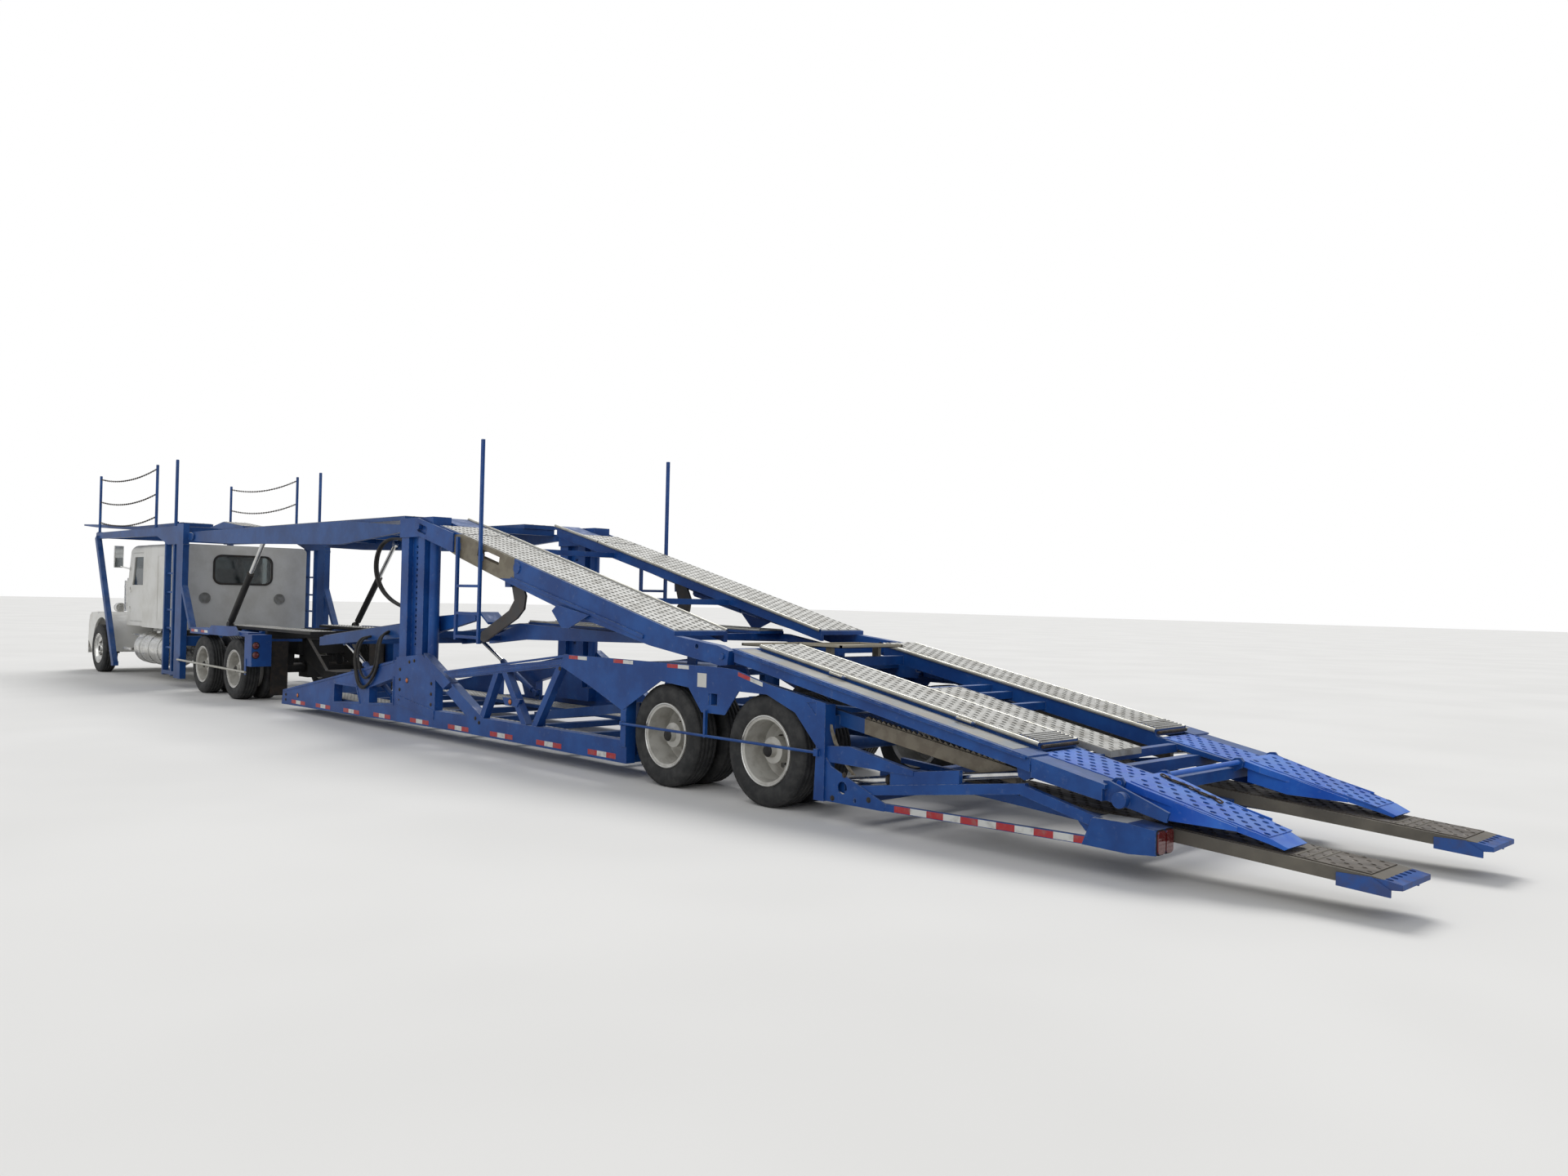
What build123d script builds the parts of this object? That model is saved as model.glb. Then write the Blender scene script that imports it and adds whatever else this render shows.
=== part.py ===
from build123d import *
import os
from math import atan2, cos, degrees, hypot, pi, radians, sin

# Car transporter: a long-nose tractor with a head rack, hinged to a low car-carrying trailer.
# Millimetres. X runs forward and is given from the trailer's rear axle, Y to the left, Z up from the ground.
# The finished pieces are moved along X so that the origin lies under the middle of the whole lorry.

# Overall sizes
FRONT_TIP_X = 20540
REAR_TIP_X = -4800
HALF_WIDTH = 1292
ORIGIN_X = (FRONT_TIP_X + REAR_TIP_X) / 2

# Clearances
RUN_FIT = 0.06
SEAT = 0.3
MOVE_GAP = 6

# Wheels
TYRE_R = 458
TYRE_W = 250
BEAD_R = 290
RIM_R = BEAD_R - SEAT
TWIN_PITCH = 330
TYRE_OUTER_Y = 1240
STEER_X = 18884
DRIVE_X = (13107, 11747)
TRAILER_X = (1297, 0)
HUB_R = 110
HAND_HOLES = 8
HAND_HOLE_R = 26
HAND_HOLE_RING = 154
KING_Y = 900
KING_R = 20
HUB_INNER_Y = TYRE_OUTER_Y - TWIN_PITCH - TYRE_W + 14

# Trailer side trusses
TRUSS_OUT_Y = 1247
TRUSS_IN_Y = 1145
TRUSS_PLATE = 12
NOSE_X = 9850
ARCH_RISE = 25
SKIN_T = 10
SKIN_GAP = 5
LIP = 20
BODY_TOP_Z = 1107
BODY_RAIL_Z = 1062
EDGE_T = 8
GUARD_ROD = (1277, 515, 12)
NOSE_WINDOWS = (
    ((8120, 470), (8130, 240), (7400, 290), (7490, 470)),
    ((7120, 490), (6500, 640), (6500, 340), (7120, 300)),
)
TRUSS_BRACES = (
    ((4130, 900), (4450, 330)),
    ((4030, 900), (3580, 330)),
    ((2960, 1000), (3420, 330)),
)
RAIL_END_X = 1840

# Posts and carriages
POST_X = (5700, 6420)
POST_Y = (1024, 1222)
POST_Z = 2552
RACK_HOLES = 18
RACK_PITCH = 68
CARRIAGE_Z = (2335, 2560)
CARRIAGE_WALL = 12
CARRIAGE_PIN = (5900, 2450)
CARRIAGE_PIN_R = 34
SLOT_PLAY = 30

# Upper deck hinge, shared with the rear deck
REAR_PIN = (530, 1200)
REAR_PIN_R = 25

# Upper deck beams and the cylinder under them: start, end, radius
UPPER_TOP = [(5460, 2412), (4990, 2300), (1180, 1350), (600, 1290), (450, 1250)]
UPPER_LOW = [(470, 1130), (560, 1120), (1530, 1250), (2780, 1502), (4260, 1880), (5000, 2080), (5460, 2235)]
BEAM_WINDOW = [(4590, 2185), (4145, 2075), (4160, 1990), (4610, 2100)]
LINK_PLATE = [(2990, 1590), (2440, 1500), (2780, 1365), (2900, 1365), (3080, 1530)]
DECK_RAM = (((3700, 1740), (2900, 1565), 36), ((2900, 1565), (2600, 1500), 22))
DECK_RAM_Y = 1105

# Middle deck
MIDDLE_PIN = (1250, 1180)

# Tracks
TUBE_R = 16

# Coupling
PIVOT_X = 10300
PIVOT_PIN_R = 45

# Tractor frame
FRAME_TOP_Z = 940

# Cab and sleeper, the rear window as half width, low, high and corner radius, the vent as y, z and radius
CAB_X = (16640, 17950)
CAB_HALF = 1000
CAB_Z = (FRAME_TOP_Z + SEAT, 2440)
SLEEPER_X = (14860, 16630)
SLEEPER_HALF = 1120
SLEEPER_Z = (FRAME_TOP_Z + SEAT, 2430)
SHELL_T = 40
DOOR_AXIS = (17790, CAB_HALF + 11)
HINGE_Z = (1200, 1560)
ROOF_R = 90
AIR_R = 158
REAR_WINDOW = (480, 1770, 2230, 110)
VENT = (640, 1500, 95)

# Hood, with its sections: x, half width, bottom, top, corner radius
HOOD_SECTIONS = (
    (17970, 570, 1000, 1690, 110),
    (19500, 480, 800, 1490, 100),
    (19760, 450, 800, 1400, 90),
)
HOOD_WALL = 25
HOOD_PIN = (19780, 640)
HOOD_PIN_R = 20

# Head rack deck
RACK_PIN = (14700, 2745)

# Guard chains of the head rack
CHAIN_Z = (2900, 3300, 3740)
CHAIN_SAG = 110
CHAIN_RUNS = 8
CHAIN_R = 9
GUARD_X = (19040, 15620)
RACK_POST_Y = 1225

# Tractor deck
DECK_PIN = (13950, 2520)
DECK_EYE = (11160, 2450)
DECK_FOOT = (12530, 1100)
DECK_LIFT_Y = 1030

# Flip ramps
RAMP_PIN = (-3150, 582)
RAMP_PIN_R = 18

# Rear deck, its top line running straight through one point at this slope
REAR_TOP = (380, 1262)
REAR_SLOPE = 0.19626
GRAB_X = (-620, -1880)
END_RIBS = 5
RAMP_EAR = [(-3080, 578), (-3125, 612), (-3168, 616), (-3190, 588), (-3180, 545), (-3140, 520), (-3080, 490)]

# Rear deck cylinders
REAR_EYE = (-2480, 560)
REAR_FOOT = (-770, 290)

# Sliding ramps: their top runs straight through this point at this slope
SLIDE_TOP = (-3480, 330)
SLIDE_SLOPE = 0.069
SLIDE_DEPTH = (100, 72)
SLIDE_Y = (588, 1027)
REST_Y = (1040, 1095)
REAR_LIFT_Y = 1142

# Low tail frame
TAIL_TUBES = (-1150, -2950)
LAMP_LENSES = ((1190, 84), (1092, 84))

# Neck deck
NECK_PIN = (6620, 1200)
NECK_PIN_R = 25
NECK_EYE = (8350, 1000)
NECK_FOOT = (6900, 350)


def box(x0, x1, y0, y1, z0, z1):
    """Block between two corners."""
    centre = Pos((x0 + x1) / 2, (y0 + y1) / 2, (z0 + z1) / 2)
    return centre * Box(abs(x1 - x0), abs(y1 - y0), abs(z1 - z0))


def plate(outline, y0, y1):
    """Plate with a side-view outline of (x, z) points, between two widths."""
    face = make_face(Polyline(*outline, close=True))
    return Pos(0, y0, 0) * extrude(Plane.XZ * face, amount=-(y1 - y0))


def slab(outline, z0, z1):
    """Plate with a plan outline of (x, y) points, between two heights."""
    face = make_face(Polyline(*outline, close=True))
    return Pos(0, 0, z0) * extrude(face, amount=z1 - z0)


def panel(outline, x0, x1):
    """Plate with a front-view outline of (y, z) points, between two lengths."""
    face = make_face(Polyline(*outline, close=True))
    return Pos(x0, 0, 0) * extrude(Plane.YZ * face, amount=x1 - x0)


def rounded_panel(y0, y1, z0, z1, radius, x0, x1):
    """Rounded rectangle seen from behind, between two lengths."""
    face = Pos((y0 + y1) / 2, (z0 + z1) / 2) * RectangleRounded(abs(y1 - y0), abs(z1 - z0), radius)
    return Pos(x0, 0, 0) * extrude(Plane.YZ * face, amount=x1 - x0)


def lip(outline, y0, y1):
    """Folded edge around a window, given by its side-view outline."""
    face = make_face(Polyline(*outline, close=True))
    edge = offset(face, LIP, kind=Kind.INTERSECTION) - face
    return Pos(0, y0, 0) * extrude(Plane.XZ * edge, amount=-(y1 - y0))


def toothed(start, end, pitch, root, depth, y0, y1):
    """Toothed strip in side view above the line from start to end."""
    length = hypot(end[0] - start[0], end[1] - start[1])
    ux, uz = (end[0] - start[0]) / length, (end[1] - start[1]) / length
    side = 1 if ux > 0 else -1
    nx, nz = -uz * side, ux * side

    def at(along, rise):
        return (start[0] + ux * along + nx * rise, start[1] + uz * along + nz * rise)

    outline = [at(0, 0), at(length, 0), at(length, root)]
    for count in range(int(length / pitch), 0, -1):
        outline.append(at(pitch * (count - 0.3), root + depth))
        outline.append(at(pitch * (count - 1), root))
    return plate(outline, y0, y1)


def bar(start, end, depth, y0, y1):
    """Straight bar in side view, its centre line from start to end."""
    dx, dz = end[0] - start[0], end[1] - start[1]
    half = depth / 2 / hypot(dx, dz)
    nx, nz = -dz * half, dx * half
    outline = [
        (start[0] + nx, start[1] + nz),
        (end[0] + nx, end[1] + nz),
        (end[0] - nx, end[1] - nz),
        (start[0] - nx, start[1] - nz),
    ]
    return plate(outline, y0, y1)


def rod(start, end, radius):
    """Round bar between two points."""
    base, tip = Vector(*start), Vector(*end)
    plane = Plane(origin=base, z_dir=tip - base)
    return plane * Cylinder(radius, (tip - base).length, align=(Align.CENTER, Align.CENTER, Align.MIN))


def pin(at, radius, y0, y1):
    """Round pin across the lorry at a side-view point."""
    return rod((at[0], y0, at[1]), (at[0], y1, at[1]), radius)


def other_side(shape):
    """The same piece on the other side."""
    return mirror(shape, about=Plane.XZ)


def both(shape):
    """A piece together with its twin on the other side."""
    return group(shape, other_side(shape))


def group(*shapes):
    """Several separate solids of one node."""
    return Compound([solid for shape in shapes for solid in shape.solids()])


def slide_point(x, depth):
    """Side-view point of the sliding ramp at x, `depth` below its top."""
    return (x, SLIDE_TOP[1] + (x - SLIDE_TOP[0]) * SLIDE_SLOPE - depth)


def on_line(start, end, share):
    """Point at a share of the way from start to end."""
    return tuple(a + (b - a) * share for a, b in zip(start, end))


def spin_about_y(profile, x, z):
    """Ring turned about an axle from (radius, y) points."""
    face = make_face(Polyline(*profile, close=True))
    ring = revolve(Plane.XY * face, axis=Axis.Y)
    return Pos(x, 0, z) * ring


def tyre(x, y0, y1):
    """One tyre between two widths."""
    wall = 20
    shoulder = 38
    bulge_r = (TYRE_R + BEAD_R) / 2
    profile = [
        (BEAD_R, y0 + wall),
        (bulge_r, y0),
        (TYRE_R, y0 + shoulder),
        (TYRE_R, y1 - shoulder),
        (bulge_r, y1),
        (BEAD_R, y1 - wall),
    ]
    return spin_about_y(profile, x, TYRE_R)


def twin_tyres(x):
    """Two tyres of a twin wheel on the left."""
    outer = tyre(x, TYRE_OUTER_Y - TYRE_W, TYRE_OUTER_Y)
    inner = tyre(x, TYRE_OUTER_Y - TWIN_PITCH - TYRE_W, TYRE_OUTER_Y - TWIN_PITCH)
    return group(outer, inner)


def hand_holes(x, radius, y0, y1):
    """Ring of round holes through a wheel disc."""
    holes = []
    for count in range(HAND_HOLES):
        angle = 2 * pi * (count + 0.5) / HAND_HOLES
        hx, hz = x + radius * cos(angle), TYRE_R + radius * sin(angle)
        holes.append(rod((hx, y0, hz), (hx, y1, hz), HAND_HOLE_R))
    return holes


def twin_rims(x):
    """Dished rims and hub of a twin wheel on the left."""
    out = TYRE_OUTER_Y
    disc = out - TWIN_PITCH / 2 - TYRE_W / 2
    inner = TYRE_OUTER_Y - TWIN_PITCH - TYRE_W
    profile = [
        (0, out - 40),
        (55, out - 40),
        (60, out - 90),
        (HUB_R, out - 100),
        (HUB_R, disc + 14),
        (195, disc + 14),
        (235, disc + 60),
        (255, out - 20),
        (RIM_R, out - 10),
        (RIM_R, inner + 10),
        (255, inner + 20),
        (235, disc - 60),
        (195, disc - 14),
        (HUB_R, disc - 14),
        (HUB_R, HUB_INNER_Y),
        (0, HUB_INNER_Y),
    ]
    rim = spin_about_y(profile, x, TYRE_R)
    for hole in hand_holes(x, HAND_HOLE_RING, disc - 30, disc + 30):
        rim -= hole
    return rim


def steer_tyre():
    """Single tyre of the left steer wheel."""
    return tyre(STEER_X, TYRE_OUTER_Y - TYRE_W, TYRE_OUTER_Y)


def steer_rim():
    """Rim of the left steer wheel, its disc close to the outer side."""
    out = TYRE_OUTER_Y
    inner = out - TYRE_W
    profile = [
        (0, out - 25),
        (70, out - 25),
        (80, out - 60),
        (HUB_R, out - 70),
        (190, out - 80),
        (230, out - 60),
        (255, out - 20),
        (RIM_R, out - 10),
        (RIM_R, inner + 10),
        (255, inner + 20),
        (230, out - 90),
        (190, out - 110),
        (120, out - 110),
        (120, inner + 60),
        (0, inner + 60),
    ]
    rim = spin_about_y(profile, STEER_X, TYRE_R)
    for hole in hand_holes(STEER_X, HAND_HOLE_RING, out - 150, out - 40):
        rim -= hole
    return rim


# Trailer


def arch_edge():
    """Edge of the body plate over both trailer wheels, from front to back."""
    top = 2 * TYRE_R
    low = TYRE_R + 182
    return [
        (TRAILER_X[0] + 593, low), (TRAILER_X[0] + 43, top + ARCH_RISE), (TRAILER_X[0] - 347, top - 6),
        (TRAILER_X[0] - 527, TYRE_R + 252), (470, TYRE_R + 252),
        (300, top + 4), (-40, top + 4), (-370, TYRE_R + 342), (-610, TYRE_R + 102),
    ]


def trailer_nose(y0, y1):
    """Nose of the side frame: one plate with two windows and a folded edge along its top."""
    nose = plate([
        (NOSE_X, 80), (9810, 280), (8370, 530), (6950, 785), (6390, 875), (6390, 135), (6720, 130), (7500, 112),
        (8440, 100)
    ], y0, y1)
    for window in NOSE_WINDOWS:
        nose -= plate(window, y0 - 10, y1 + 10)
        nose += lip(window, y1 - 4, y1 + EDGE_T)
    nose += bar((9790, 268), (8370, 514), 22, y1 - 4, y1 + EDGE_T)
    nose += bar((8370, 514), (6500, 842), 22, y1 - 4, y1 + EDGE_T)
    return nose


def trailer_post(y0, y1):
    """Left deck post: two box columns, a punched rack between them and the lift jack behind."""
    y_in, y_out = POST_Y
    post = box(6240, POST_X[1], y_in, y_out, 330, POST_Z)
    post += box(5850, 6000, y_in, y_out, 330, POST_Z)
    rack = box(5990, 6250, y_in + 60, y_out - 60, 330, POST_Z)
    for count in range(RACK_HOLES):
        z = 1050 + count * RACK_PITCH
        rack -= box(6085, 6155, y_in, y_out, z, z + 30)
    post += rack
    post += box(5850, 6240, y_in, y_out, 330, 700)
    post += rod((5770, 1125, 480), (5770, 1125, 2300), 62)
    post += box(5700, 5860, y_in, y_out, 440, 500)
    return post + box(5700, 6430, y_in, y0 + 5, 330, 480)


def trailer_body(y0, y1):
    """Thin body plate outside the wheels, on a box rail, with its guard rod and brackets."""
    y1 += SKIN_GAP + 4
    y2 = y1 - 4 + SKIN_T
    skin = plate([(2930, 990), (2410, 820), (1920, 640), (1920, 300), (RAIL_END_X, 300), (RAIL_END_X, 640)]
                 + arch_edge()
                 + [(-590, 145), (-700, 145), (-700, 900), (-80, 1000), (350, 1100), (500, BODY_TOP_Z),
                    (2870, BODY_TOP_Z)], y1 - 4, y2)
    skin -= box(550, 680, y0 - 10, y2 + 10, 780, 880)
    skin -= plate([(-500, 890), (-600, 900), (-600, 800)], y0 - 10, y2 + 10)
    rail = plate([(2900, 985), (2870, BODY_RAIL_Z), (450, BODY_RAIL_Z), (-80, 985), (-700, 885), (-700, 790),
                  (-590, 790), (-380, 870), (-40, 940), (300, 980), (1340, 990), (2500, 985), (2420, 830),
                  (2540, 860)], y0, y1)
    rail += box(RAIL_END_X, 1910, y0, y1, 300, 1000)
    rail += plate([(1900, 340), (1900, 680), (2430, 870), (2560, 1000), (1900, 1000)], y0 + 60, y1)
    rail += box(-700, -600, y0, y1, 145, 890)
    rail += box(550, 700, y0 + 20, y1, 730, 1000) - box(575, 655, y0 - 10, y1 + 10, 780, 880)
    rod_y, rod_z, rod_r = GUARD_ROD
    guard = rod((1895, rod_y, rod_z), (-625, rod_y, rod_z), rod_r)
    guard += box(690, 712, y2 - 4, rod_y + rod_r, rod_z - rod_r, 735)
    guard += box(1872, 1900, y1 - 4, rod_y + rod_r, rod_z - 20, rod_z + 20)
    guard += box(-650, -605, y1 - 4, rod_y + rod_r, rod_z - 28, rod_z + 28)
    return skin + rail + guard


def trailer_side():
    """Left side truss: nose, rails, braces, post and body plate."""
    y0, y1 = TRUSS_IN_Y, TRUSS_OUT_Y
    truss = trailer_nose(y0, y1)
    truss += plate([(6400, 135), (6400, 335), (1900, 355), (1900, 300), (RAIL_END_X, 300), (RAIL_END_X, 145),
                    (4800, 150)], y0, y1)
    truss += plate([(6430, 330), (6430, 900), (5810, 960), (5470, 790), (5470, 330)], y0, y1)
    truss += bar((6390, 400), (5480, 285), 100, y1 - 4, y1 + EDGE_T)
    truss += plate([(5760, 980), (4400, 340), (4400, 230), (4540, 230), (5470, 690), (5700, 880)], y0, y1)
    truss -= Pos(5180, 0, 620) * Rot(0, 29, 0) * box(-90, 90, y0 - 10, y1 + 10, -34, 34)
    truss += plate([(5280, 800), (2870, 1060), (2900, 985), (5100, 730)], y0, y1)
    truss += bar((5260, 792), (2830, 1095), 22, y1 - 4, y1 + EDGE_T)
    truss += bar((5150, 750), (2880, 1020), 22, y1 - 4, y1 + EDGE_T)
    for start, end in TRUSS_BRACES:
        truss += bar(start, end, 80, y0 + 20, y1 - 2)
    truss += plate([(3950, 520), (3720, 520), (3660, 600), (4010, 600)], y1 - 40, y1 + EDGE_T)
    truss += trailer_body(y0, y1) + trailer_post(y0, y1)
    truss += plate([(6140, 1390), (5070, 1470), (5060, 1380), (6090, 1180)], 930, 990)
    truss += plate([(5580, 1455), (5060, 1478), (4880, 1365), (4880, 1340), (5060, 1450), (5580, 1430)], 700, 935)
    truss += box(5880, 6080, 985, POST_Y[0] + 5, 1210, 1290)
    bracket = plate([(300, 960), (480, 1260), (590, 1260), (800, 1060), (800, 960)], 1085, 1105)
    truss += bracket + box(300, 555, 1085, y0 + 5, 985, 1020)
    truss += pin(REAR_PIN, REAR_PIN_R, 1085, HALF_WIDTH - 30)
    truss += plate([(6400, 1130), (6400, 1270), (6640, 1240), (6670, 1200), (6640, 1160)], 1100 + SEAT, 1125)
    return truss + pin(NECK_PIN, NECK_PIN_R, 1030, 1125)


def trailer_floor():
    """Floor tracks, cross members, tandem frame, axles and the low tail frame."""
    track = slab([(9700, 640), (9700, 1100), (1850, 1100), (1850, 640)], 215, 255)
    floor = track + other_side(track)
    for x in (9600, 8600, 7600, 6600, 5600, 4600, 3600, 2600, 1900):
        floor += box(x - 50, x + 50, -TRUSS_IN_Y, TRUSS_IN_Y, 120 if x > 9000 else 150, 215)
    spine = box(-650, 1900, 330, 430, 560, 700)
    floor += spine + other_side(spine)
    riser = box(1850, 1900, 330, 1100, 215, 700)
    floor += riser + other_side(riser)
    roof = box(560, 1850, 600, 1080, 1045, 1085)
    floor += roof + other_side(roof)
    for x in (900, 1600):
        floor += box(x - 40, x + 40, -TRUSS_IN_Y, TRUSS_IN_Y, 1005, 1060)
    upright = box(1560, 1640, 330, 430, 700, 1005)
    floor += upright + other_side(upright)
    upright = box(860, 940, 330, 430, 700, 1005)
    floor += upright + other_side(upright)
    for x in TRAILER_X:
        floor += rod((x, SEAT - HUB_INNER_Y, TYRE_R), (x, HUB_INNER_Y - SEAT, TYRE_R), 65)
        hanger = box(x - 60, x + 60, 340, 420, TYRE_R, 600)
        floor += hanger + other_side(hanger)
    rear_beam = box(-700, -600, -TRUSS_IN_Y, TRUSS_IN_Y, 700, 800)
    floor += rear_beam
    drop = box(-650, -600, 330, 430, 560, 800)
    floor += drop + other_side(drop)
    lug = box(6850, 6950, 1036 + SEAT, 1060, 250, 400) + pin(NECK_FOOT, 18, 985, 1060)
    floor += lug + other_side(lug)
    lug = box(1190, 1310, 960 + SEAT, 985, 1070, 1225) + pin(MIDDLE_PIN, 22, 905, 985)
    floor += lug + other_side(lug)
    riser = bar((3900, 395), (1880, 665), 90, 875, 925) + box(3760, 3860, 875, 925, 250, 420)
    floor += riser + other_side(riser)
    return floor


def deck_rest():
    """Bare steel arm behind the left wheels, with the rack on which the rear deck locks."""
    arm = plate([(-610, 850), (-2350, 575), (-2350, 465), (-610, 735)], *REST_Y)
    arm += toothed((-2250, 588), (-950, 793), 50, 6, 20, REST_Y[0] + 15, REST_Y[1] - 15)
    return arm + box(-2350, -2310, REST_Y[0], REST_Y[1], 465, 575)


def trailer_tail():
    """Low tail frame: corner plates, skirt rails, lamp boxes, ramp guides and cross tubes."""
    y1 = TRUSS_OUT_Y
    front = -700 - SEAT
    corner = plate([(front, 480), (front, 150), (-1300, 150), (-1320, 205), (-760, 420)], y1 - 12, y1)
    corner -= pin((-880, 270), 48, y1 - 30, y1 + 10) + pin((-1010, 190), 16, y1 - 30, y1 + 10)
    corner += plate([(front, 470), (front, 150), (-740, 150), (-740, 470)], y1 - 60, y1 - 10)
    side = corner + bar((-1250, 180), (-3330, 215), 55, y1 - 30, y1 - 2)
    side += bar((-980, 262), (-2520, 472), 72, y1 - 57, y1 - 12)
    side += bar((-2490, 462), (-3090, 322), 72, y1 - 57, y1 - 12)
    side += plate([(-1340, 330), (-1340, 440), (-1970, 530), (-1970, 415)], y1 - 57, y1 - 17)
    side += plate([(front, 570), (-940, 588), (-1560, 478), (-1560, 440), (front, 450)], y1 - 57, y1 - 12)
    lamp_box = plate([(-3030, 360), (-3280, 360), (-3430, 345), (-3470, 345), (-3470, 188), (-3290, 172),
                      (-2960, 180)], 1040, y1)
    for y, width in LAMP_LENSES:
        lamp_box += rounded_panel(y - width / 2, y + width / 2, 195, 335, 22, -3482, -3465)
    side += lamp_box + plate([(-2830, 405), (-3050, 350), (-2970, 260)], y1 - 57, y1 - 30)
    side += box(-1000, -900, 1030, y1 - 8, 160, 250)
    guide_out = bar(slide_point(-900, 50), slide_point(-3100, 50), 70, SLIDE_Y[1] + SEAT, SLIDE_Y[1] + 40)
    guide_in = bar(slide_point(-900, 75), slide_point(-3100, 75), 40, SLIDE_Y[0] - 40, SLIDE_Y[0] - SEAT)
    side += guide_out + guide_in
    lug = plate([(-860, 220), (-860, 300), (-800, 340), (-730, 340), (-704, 250)], REAR_LIFT_Y + 30, y1 - 50)
    side += lug + pin(REAR_FOOT, 16, REAR_LIFT_Y - 28, y1 - 50)
    tail = side + other_side(side)
    for x in TAIL_TUBES:
        z = slide_point(x, SLIDE_DEPTH[0] + MOVE_GAP)[1]
        y = SLIDE_Y[1] + 40
        tail += box(x - 50, x + 50, -y, y, z - 80, z)
        post = box(x - 50, x + 50, SLIDE_Y[1] + 2, SLIDE_Y[1] + 40, z - 20, z + 50)
        post += box(x - 50, x + 50, SLIDE_Y[0] - 40, SLIDE_Y[0] - 2, z - 20, z + 20)
        tail += post + other_side(post)
    return tail + box(-1000, -900, -1100, 1100, 160, 250)


def post_carriages():
    """Ring that rides on each post, with its cross pin."""
    x0, x1 = POST_X[0] - 60, POST_X[1] + MOVE_GAP
    y0, y1 = POST_Y[0] - MOVE_GAP, POST_Y[1] + MOVE_GAP
    wall = CARRIAGE_WALL
    z0, z1 = CARRIAGE_Z
    ring = box(x0 - wall, x1 + wall, y0 - wall, y1 + wall, z0, z1)
    ring -= box(x0, x1, y0, y1, z0 - 10, z1 + 10)
    ring += pin(CARRIAGE_PIN, CARRIAGE_PIN_R, y1 + wall, HALF_WIDTH)
    return both(ring)


def upper_deck():
    """Upper deck over the trailer: two tapered beams, tracks, ladders and tall poles."""
    beam = plate(UPPER_TOP + UPPER_LOW, 1160, TRUSS_OUT_Y)
    beam -= pin(REAR_PIN, REAR_PIN_R + RUN_FIT, 1100, 1300) + plate(BEAM_WINDOW, 1100, 1300)
    beam -= pin((870, 1270), 22, 1100, 1300)
    beam += bar((3900, 1850), (1620, 1325), 34, TRUSS_OUT_Y - 4, TRUSS_OUT_Y + 13)
    beam += pin((2935, 1548), 26, TRUSS_OUT_Y - 4, TRUSS_OUT_Y + 25)
    beam += plate(LINK_PLATE, TRUSS_OUT_Y + 21, TRUSS_OUT_Y + 33)
    beam += pin((3790, 1960), 60, TRUSS_OUT_Y - 4, TRUSS_OUT_Y + 12)
    for start, end, radius in DECK_RAM:
        beam += rod((start[0], DECK_RAM_Y, start[1]), (end[0], DECK_RAM_Y, end[1]), radius)
    for x, z in (DECK_RAM[0][0], DECK_RAM[1][1]):
        beam += box(x - 30, x + 30, DECK_RAM_Y - 20, 1165, z - 15, z + 90)
    arm_in = TRUSS_OUT_Y + 5
    arm = plate([
        (5940, 2552), (5100, 2355), (5100, 2140), (5860, 2330), (5985, 2370), (6010, 2480)
    ], arm_in, arm_in + 22)
    arm += plate([(5440, 2400), (5100, 2320), (5100, 2150), (5440, 2240)], TRUSS_OUT_Y - 10, arm_in)
    slope = degrees(atan2(CARRIAGE_PIN[1] - REAR_PIN[1], CARRIAGE_PIN[0] - REAR_PIN[0]))
    slot_r = CARRIAGE_PIN_R + (SEAT + SLOT_PLAY) / 2
    reach = 150
    drop = (SLOT_PLAY - SEAT) / 2
    front = (CARRIAGE_PIN[0], CARRIAGE_PIN[1] - drop)
    back = (front[0] - reach * cos(radians(slope)), front[1] - reach * sin(radians(slope)))
    slot = pin(front, slot_r, arm_in - 5, HALF_WIDTH) + pin(back, slot_r, arm_in - 5, HALF_WIDTH)
    slot += bar(front, back, 2 * slot_r, arm_in - 5, HALF_WIDTH)
    arm -= slot
    track = plate([(5460, 2412), (4990, 2300), (1180, 1350), (1180, 1390), (4980, 2340), (5460, 2452)], 620, 1247)
    track_front = plate([(5960, 2530), (5460, 2412), (5460, 2452), (5950, 2572)], 620, 990)
    side = beam + arm + track + track_front
    for start, end in (((4970, 2345), (1190, 1395)), ((5930, 2574), (4990, 2352))):
        side += rod((start[0], 615, start[1]), (end[0], 615, end[1]), TUBE_R)
    inner = plate([(5900, 2515), (4990, 2300), (1180, 1350), (1180, 1290), (4990, 2220), (5900, 2440)], 620, 660)
    side += inner
    ladder_y = (TRUSS_OUT_Y + EDGE_T + 6, HALF_WIDTH)
    side += box(4960, 5000, *ladder_y, 1170, 2310)
    side += box(4472, 4508, *ladder_y, 1140, 3355)
    for z in (1190, 1450, 1750):
        side += box(4490, 4980, *ladder_y, z, z + 30)
    for x, z in ((4980, 2200), (4490, 2080)):
        side += box(x - 25, x + 25, TRUSS_OUT_Y - 10, ladder_y[0], z - 40, z + 40)
    deck = side + other_side(side)
    for x, z in ((800, 1230), (2600, 1660), (4700, 2190)):
        deck += box(x - 40, x + 40, -1160, 1160, z - 40, z + 20)
    hook_bracket = plate([(4150, 1900), (4010, 1860), (4040, 1760), (4140, 1760)], 1142, 1175)
    return deck + hook_bracket + other_side(hook_bracket)


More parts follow.
